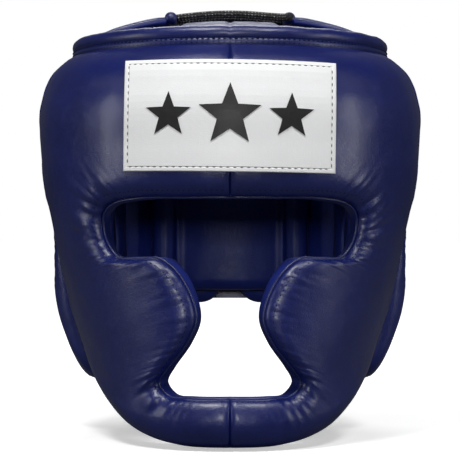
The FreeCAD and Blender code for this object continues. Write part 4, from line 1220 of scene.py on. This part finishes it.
# %% Rim roll
roll_low, roll_high = corners_of("rim_roll")
ROLL_RADIUS = (roll_high[2] - roll_low[2]) / 2
roll_z = (roll_high[2] + roll_low[2]) / 2
roll_turns = np.linspace(-1, 1, 420) * (math.acos((CENTRE_Y - roll_high[1]) / (rim_reach + CENTRE_Y)) + 0.015)
roll_path = on_rim(roll_turns, rim_half_width - roll_high[0] + ROLL_RADIUS, roll_z)
roll_path[:, 2] += 0.35 * smooth_noise(roll_turns * 7, roll_turns * 0, 6.1)
rim_roll = rod("rim_roll_skin", roll_path, ROLL_RADIUS + 0.2, shell_leather, sides=20, taper=4)
pinch = np.array([v.co for v in rim_roll.data.vertices])
turn_there = np.arctan2(pinch[:, 0], -pinch[:, 1])
middle_pinch = 0.0006 * np.exp(-((turn_there / 0.012) ** 2))
pinch[:, 2] -= middle_pinch
pinch[:, 2] += 0.00022 * smooth_noise(turn_there * 60, pinch[:, 2] / MM * 0.3, 1.9)
rim_roll.data.vertices.foreach_set("co", pinch.ravel())
attach(rim_roll, "shell", "rim_roll")
cord_in_roll = rod("rim_roll_cord", roll_path, ROLL_RADIUS - 1.3, foam_cells, sides=10, taper=3)
attach(cord_in_roll, "shell", "rim_roll_core")

# %% [markdown]
# ## Crown
# Two leather flaps arch over the head from the rim. Each ends in a hem tunnel, and a woven lace runs to
# and fro between the tunnels, over a padded tongue that keeps it off the hair.

# %% Crown flaps and hems
flap_low, flap_high = corners_of("crown_flap_left")
hem_low, hem_high = corners_of("crown_hem_left")
HEM_X = (hem_low[0] + hem_high[0]) / 2
HEM_Z = (hem_low[2] + hem_high[2]) / 2
FLAP_THICKNESS = 5.4
ARCH_HALF_WIDTH, ARCH_RISE, ARCH_Z = 92, 29.7, 99.5
flap_front, flap_rear = flap_low[1], flap_high[1]


def flap_place(sign):
    def place(turn, y, depth):
        x = (ARCH_HALF_WIDTH - depth) * np.sin(turn / 60)
        return np.stack([sign * x, y, ARCH_Z + (ARCH_RISE - depth) * np.cos(turn / 60)], -1)

    return place


def flap_relief(u, v, from_edge):
    return 0.9 * smooth_noise(u / 14, v / 14, 12.5) * np.clip(from_edge / 6, 0, 1)


hem_turn = math.asin((HEM_X + 1.0) / ARCH_HALF_WIDTH) * 60
foot_turn = math.asin(min(0.93, (flap_high[0] + 3) / ARCH_HALF_WIDTH)) * 60
for side, sign in (("left", 1), ("right", -1)):
    names = (f"crown_flap_{side}", f"crown_flap_lining_{side}", f"crown_flap_foam_{side}")
    outer, inner = stuffed(
        names, "shell", flap_place(sign), (hem_turn, flap_front), (foot_turn, flap_rear), 7, FLAP_THICKNESS,
        (44, 60), 1.8, flap_relief, ("shell", "lining"), (shell_leather, lightened_lining_leather),
    )
    normals = panel_normals(outer, inner)
    for row, name in ((6, "front"), (-7, "rear")):
        line = outer[:, row] - normals[:, row] * 0.2
        stitches(f"flap_stitches_{side}_{name}", line, normals[:, row], 3.1, 1.9, 0.6, shade_darkened_navy_thread, "shell")
    hem_y = np.linspace(flap_front + 1, flap_rear - 1, 70)
    hem_wave = 0.4 * smooth_noise(hem_y / 9, hem_y * 0, 2.5 + sign)
    hem_path = np.stack([np.full(70, sign * HEM_X), hem_y, HEM_Z + hem_wave], -1)
    hem = rod(f"crown_hem_{side}_skin", hem_path, 3.7, trim_leather, sides=16, taper=2)
    attach(hem, "shell", f"crown_hem_{side}")

# %% Crown tongue
tongue_low, tongue_high = corners_of("crown_tongue")
TONGUE_HALF_WIDTH = tongue_high[0]
TONGUE_THICKNESS = 7
TONGUE_POWER = 3.0
tongue_middle = (tongue_low[1] + tongue_high[1]) / 2
tongue_half = (tongue_high[1] - tongue_low[1]) / 2
tongue_base = tongue_low[2] - 6


def tongue_place(x, s, depth):
    """s runs from -90 at the front foot to 90 at the rear foot."""
    angle = np.radians(s)
    c, sine = np.cos(angle), np.sin(angle)
    y = tongue_middle + (tongue_half - depth) * np.sign(sine) * np.abs(sine) ** (2 / TONGUE_POWER)
    z = tongue_base + (tongue_high[2] - tongue_base - depth) * np.maximum(c, 0) ** (2 / TONGUE_POWER)
    crown = 2.2 * (1 - (x / TONGUE_HALF_WIDTH) ** 2) - 1.0
    return np.stack([x, y, z + crown * np.maximum(c, 0)], -1)


def tongue_relief(x, s, from_edge):
    channel = -1.0 * np.exp(-((x / 1.6) ** 2))
    return (channel + 0.5 * smooth_noise(x / 12, s / 12, 3.3)) * np.clip(from_edge / 5, 0, 1)


stuffed(
    ("crown_tongue", "crown_tongue_lining", "crown_tongue_foam"), "shell", tongue_place,
    (-TONGUE_HALF_WIDTH, -80), (TONGUE_HALF_WIDTH, 80), 8, TONGUE_THICKNESS, (56, 90), 4.5, tongue_relief,
    ("shell", "lining"), (shell_leather, lightened_lining_leather), 1.0,
)

# %% Crown lace
LACE_RUNS = 5
LACE_FIRST_Y = -33
LACE_PITCH = 17.5
LACE_CROWN = 3.2
LACE_START = 4
LACE_TAIL = 17
LACE_RADIUS = 2.2
lace_route = [(HEM_X, flap_front - LACE_START, HEM_Z)]
for run in range(LACE_RUNS):
    y = LACE_FIRST_Y + run * LACE_PITCH
    go = 1 if run % 2 == 0 else -1
    lace_route += [(go * HEM_X, y, HEM_Z), (0, y, HEM_Z + LACE_CROWN), (-go * HEM_X, y, HEM_Z)]
lace_route.append((lace_route[-1][0], flap_rear + LACE_TAIL, HEM_Z))


def smooth_route(name, route):
    """The points of the smooth line that a cord's route makes, in millimetres."""
    data = bpy.data.curves.new(name, "CURVE")
    data.dimensions = "3D"
    data.resolution_u = 12
    spline = data.splines.new("NURBS")
    spline.points.add(len(route) - 1)
    for point, place in zip(spline.points, route):
        point.co = (*place, 1)
    spline.order_u = 3
    spline.use_endpoint_u = True
    line = bpy.data.objects.new(name, data)
    bpy.context.collection.objects.link(line)
    mesh = bpy.data.meshes.new_from_object(line)
    points = np.array([v.co for v in mesh.vertices])
    bpy.data.objects.remove(line)
    bpy.data.meshes.remove(mesh)
    return points


lace_path = smooth_route("lace_line", lace_route)
lace = rod("crown_lace_cord", lace_path, LACE_RADIUS, lace_braid, sides=16, uv=True)
attach(lace, "shell", "crown_lace")
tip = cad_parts["lace_aglet"]
for tip_slot in tip.material_slots:
    tip_slot.material = tip_metal

# %% [markdown]
# ## Back pad
# The back pad hangs from the tongue behind the head. Two sewn channels divide it, so its sides stand
# forward as bolsters, which show through the eye opening.

# %% Back pad
pad_low, pad_high = corners_of("back_pad_cover")
PAD_THICKNESS = 14
CHANNEL_X = 37
BACK_RADIUS = 85


def back_place(turn, z, depth):
    return on_back(turn / BACK_RADIUS, z, PAD_THICKNESS - depth)


channel_turn = math.asin(CHANNEL_X / BACK_RADIUS) * BACK_RADIUS
pad_turn = math.asin(pad_high[0] / (BACK_HALF_WIDTH + PAD_THICKNESS)) * BACK_RADIUS


def back_relief(turn, z, from_edge):
    channel = -4.5 * np.exp(-(((np.abs(turn) - channel_turn) / 2.6) ** 2))
    bolster = 1.8 * np.clip(1 - ((np.abs(turn) - (channel_turn + pad_turn) / 2) / 11) ** 2, 0, 1)
    lumps = 0.5 * smooth_noise(turn / 13, z / 20, 21.5)
    return (channel + bolster + lumps) * np.clip(from_edge / 6, 0, 1)


low, high = (-pad_turn, pad_low[2]), (pad_turn, pad_high[2])
outer, inner = panel(back_place, low, high, 12, PAD_THICKNESS, (110, 100), 6.5, back_relief)
outer, inner = inflated("back_pad_air", [outer, inner], two_sided_faces(*outer.shape[:2]), 1.2)
skins(
    ("back_pad_cover", "back_pad_lining"), "back_pad", outer, inner,
    ("shell", "lining"), (shell_leather, lightened_lining_leather),
)
FOAM_GAP = 3
inner_edge = channel_turn - FOAM_GAP
outer_edges = (channel_turn + FOAM_GAP, pad_turn - FOAM_GAP)
for name, first, last in (
    ("back_pad_foam", -inner_edge, inner_edge),
    ("back_pad_side_foam_left", *outer_edges),
    ("back_pad_side_foam_right", -outer_edges[1], -outer_edges[0]),
):
    low, high = (first, pad_low[2] + FOAM_GAP), (last, pad_high[2] - FOAM_GAP)
    nets = panel(lambda u, v, d: back_place(u, v, d + 2), low, high, 4, PAD_THICKNESS - 4, (30, 40), 4)
    made = wrap(name + "_core", *nets, foam_cells)
    attach(made, "back_pad", name)

# %% [markdown]
# ## Wings and closure
# Two wings swing in behind the back pad. A strap sewn on the left wing crosses to the right one, where
# its hook tape grips the loop tape.

# %% Wings
wing_low, wing_high = corners_of("wing_cover_left")
WING_THICKNESS = 12
WING_OUT = PAD_THICKNESS + 3 + WING_THICKNESS
tip_turn = math.asin(wing_low[0] / (BACK_HALF_WIDTH + WING_OUT)) * BACK_RADIUS
root_turn = math.acos((wing_low[1] - CENTRE_Y) / (BACK_REACH + WING_OUT + CENTRE_Y)) * BACK_RADIUS


def wing_place(sign):
    def place(turn, z, depth):
        return on_back(sign * turn / BACK_RADIUS, z, WING_OUT - depth)

    return place


def wing_relief(turn, z, from_edge):
    lumps = 0.9 * smooth_noise(turn / 20, z / 16, 31.5) + 0.35 * smooth_noise(turn / 6, z / 9, 33.5)
    return lumps * np.clip(from_edge / 7, 0, 1)


for side, sign in (("left", 1), ("right", -1)):
    names = (f"wing_cover_{side}", f"wing_lining_{side}", f"wing_foam_{side}")
    outer, inner = stuffed(
        names, f"wing_{side}", wing_place(sign), (tip_turn, wing_low[2]), (root_turn, wing_high[2]), 12,
        WING_THICKNESS, (90, 70), 6, wing_relief, ("shell", "lining"), (shell_leather, lightened_lining_leather), 1.2,
    )

# %% Strap and tapes
TAPE = 1.1
TAPE_AIR = 0.5
STRAP_THICKNESS = 2.4
STRAP_IN = WING_OUT + 2 * TAPE + TAPE_AIR
STRAP_OUT = STRAP_IN + STRAP_THICKNESS


def flat_strip(name, low, high, corner, grow_in, grow_out, material, body, node):
    """A strip of leather from corner low to corner high (x, z), wrapped on the wings."""
    radius = BACK_HALF_WIDTH + (grow_in + grow_out) / 2
    ends = [math.asin(x / radius) * radius for x in (low[0], high[0])]
    centre = (sum(ends) / 2, (low[1] + high[1]) / 2)
    place = lambda u, z, depth: on_back(u / radius, z, grow_out - depth)
    width, height = ends[1] - ends[0], high[1] - low[1]
    made = leather_plate(name, width, height, grow_out - grow_in, corner, 3.5, 4.0, centre, place, material)
    attach(made, body, node)
    return place, ends


base_low, base_high = corners_of("strap_base")
strap_low, strap_high = corners_of("closure_strap")
tab_low, tab_high = corners_of("strap_tab")
flat_strip("strap_base_leather", base_low[::2], base_high[::2], 5, WING_OUT - 1.5, STRAP_OUT,
           trim_leather, "wing_left", "strap_base")
strap_start = (tab_low[0] + 1, strap_low[2])
place, ends = flat_strip("closure_strap_leather", strap_start, strap_high[::2], 7, STRAP_IN, STRAP_OUT,
                         trim_leather, "strap", "closure_strap")
flat_strip("strap_tab_leather", (tab_low[0], tab_low[2] + 0.5), (tab_high[0], tab_high[2] - 0.5), 6,
           STRAP_OUT - 0.3, STRAP_OUT + 0.9, shell_leather, "strap", "strap_tab")
STRAP_STITCH_INSET = 3.5
run_u = np.linspace(ends[0] + STRAP_STITCH_INSET, ends[1] - STRAP_STITCH_INSET, 60)
stitch_levels = {"upper": strap_high[2] - STRAP_STITCH_INSET, "lower": strap_low[2] + STRAP_STITCH_INSET}
for name, z in stitch_levels.items():
    level = np.full(len(run_u), z)
    line = place(run_u, level, 0)
    normals = line - place(run_u, level, 1.0)
    stitches(f"strap_stitches_{name}", line, normals, 3.2, 2.0, 0.75, grey_thread, "strap")
for name, material in (("hook_tape", hook_pile), ("loop_tape", loop_pile)):
    for tape_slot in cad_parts[name].material_slots:
        tape_slot.material = material

# %% Leather folds at the hinges
hinge_low, hinge_high = corners_of("wing_hinge_roll_left")
hinge_middle = (hinge_low + hinge_high) / 2


def fold(name, rows, thickness, material, bodies, start, end, node=None):
    """A strip of leather over a hinge, made in place and riding on no body."""
    net = np.asarray(rows, float)
    made = sheet_piece(name, net, net_normals(net, False, False), thickness, material)
    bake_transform(made)
    if node:
        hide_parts(node)
    return made


for side, sign in (("left", 1), ("right", -1)):
    heights = np.linspace(wing_low[2] + 8, wing_high[2] - 6, 40)
    section = loop_through([(-6.5, 3.5), (-3.5, 3.2), (0, 2.0), (3.5, 2.4), (8, 3.4)], 16, closed=False)
    x, y = sign * hinge_middle[0], hinge_middle[1]
    rows = [[(sign * (hinge_middle[0] + out), y + back, z) for z in heights] for back, out in section]
    bodies = ("shell", f"wing_{side}")
    fold(f"wing_fold_{side}", rows, 1.6, trim_leather, bodies, (x, y - 3.5, 0), (x, y + 3.5, 0),
         f"wing_hinge_roll_{side}")
roll_box = corners_of("back_pad_hinge_roll")
hinge = (roll_box[0] + roll_box[1]) / 2
across = np.linspace(roll_box[0][0], roll_box[1][0], 30)
section = loop_through([(-8, 4), (-4, 3.4), (0, 1.8), (5, -3), (9, -8), (13, -14)], 18, closed=False)
rows = [[(x, hinge[1] + back, hinge[2] + up) for x in across] for back, up in section]
fold("back_pad_fold", rows, 1.6, trim_leather, ("shell", "back_pad"), (0, hinge[1] - 3, hinge[2] + 2),
     (0, hinge[1] + 5, hinge[2] - 4), "back_pad_hinge_roll")

STRAP_MIDDLE = STRAP_IN + STRAP_THICKNESS / 2
FOLD_OVERLAP = 2.5
fold_x = np.linspace(strap_high[0] - FOLD_OVERLAP, base_low[0] + FOLD_OVERLAP, 12)
fold_turns = np.arcsin(fold_x / (BACK_HALF_WIDTH + STRAP_MIDDLE))
heights = np.linspace(strap_low[2] + 0.6, strap_high[2] - 0.6, 24)
rows = [[on_back(turn, z, STRAP_MIDDLE) for z in heights] for turn in fold_turns]
ends = [on_back(turn, 0.0, STRAP_MIDDLE) for turn in (fold_turns[-2], fold_turns[1])]
fold("strap_fold", rows, 1.8, trim_leather, ("wing_left", "strap"), *ends)

# %% [markdown]
# ## Forehead patch
# A white leather patch is sewn on the forehead. It carries a plain printed motif of three stars.

# %% Patch
patch_low, patch_high = corners_of("forehead_patch")
PATCH_THICKNESS = 1.2
PATCH_TILT = math.radians(0.7)
PATCH_LIFT = 1.5


def patch_place(x, z, depth):
    """A point of the patch, which lies on the padding and is set a little askew."""
    middle_z = (patch_low[2] + patch_high[2]) / 2
    x, z = x + (z - middle_z) * PATCH_TILT, z - x * PATCH_TILT
    out = PATCH_LIFT - depth
    half_width = inner_width(z) + side_pad(z) + out
    half_depth = inner_reach(z) + CENTRE_Y + front_pad(z) + out
    y = CENTRE_Y - half_depth * np.sqrt(1 - (x / half_width) ** 2)
    return np.stack([x, y, z], -1)


patch_centre = ((patch_low[0] + patch_high[0]) / 2, (patch_low[2] + patch_high[2]) / 2)
patch_size = (patch_high[0] - patch_low[0], patch_high[2] - patch_low[2])
patch = leather_plate(
    "forehead_patch_leather", *patch_size, PATCH_THICKNESS, 0, 2.4, 3.5,
    patch_centre, patch_place, patch_leather,
)
attach(patch, "shell", "forehead_patch")

# %% Patch stitches and motif
INSET = 2.4
half_width, half_height = patch_size[0] / 2 - INSET, patch_size[1] / 2 - INSET
corners = np.array([(-1, -1), (1, -1), (1, 1), (-1, 1)]) * (half_width, half_height)
for k in range(4):
    a, b = corners[k], corners[(k + 1) % 4]
    run = np.array(patch_centre) + a + (b - a) * np.linspace(0, 1, 60)[:, None]
    line = patch_place(run[:, 0], run[:, 1], GROOVE_DEPTH)
    normals = line - patch_place(run[:, 0], run[:, 1], 2.0)
    stitches(f"patch_stitches_{k + 1}", line, normals, 3.8, 2.3, 0.8, grey_thread, "shell")

MOTIF_THICKNESS = 0.6
MOTIF_SUNK = 0.2
STAR_WAIST = 0.42


def star(name, radius, x):
    """A five-pointed star of thin leather on the patch, x from its middle."""
    bpy.ops.object.select_all(action="DESELECT")
    bpy.ops.mesh.primitive_circle_add(vertices=10, radius=radius, fill_type="NGON", location=(0, 0, 0))
    made = bpy.context.object
    made.name = name
    bpy.ops.object.mode_set(mode="EDIT")
    bpy.ops.mesh.select_mode(type="VERT")
    bpy.ops.mesh.select_all(action="DESELECT")
    mesh = bmesh.from_edit_mesh(made.data)
    for vertex in mesh.verts:
        turn = math.degrees(math.atan2(vertex.co.x, vertex.co.y)) / 36
        vertex.select_set(round(turn) % 2 == 1)
    mesh.select_flush_mode()
    bmesh.update_edit_mesh(made.data)
    bpy.ops.transform.resize(value=(STAR_WAIST, STAR_WAIST, 1), center_override=(0, 0, 0))
    bpy.ops.mesh.select_all(action="SELECT")
    bpy.ops.mesh.extrude_region_move(TRANSFORM_OT_translate={"value": (0, 0, MOTIF_THICKNESS)})
    cut_into_strips(2 * radius, 2 * radius, 3.0)
    sunk = lambda u, z, depth: patch_place(u, z, depth + MOTIF_SUNK - MOTIF_THICKNESS)
    return lay_down(made, MOTIF_THICKNESS, (patch_centre[0] + x, patch_centre[1]), sunk, motif_paint)


for number, (offset, radius) in enumerate(((-34, 13), (0, 18), (34, 13)), 1):
    made = star(f"patch_star_{number}", radius, offset)
    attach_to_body(made, "shell")
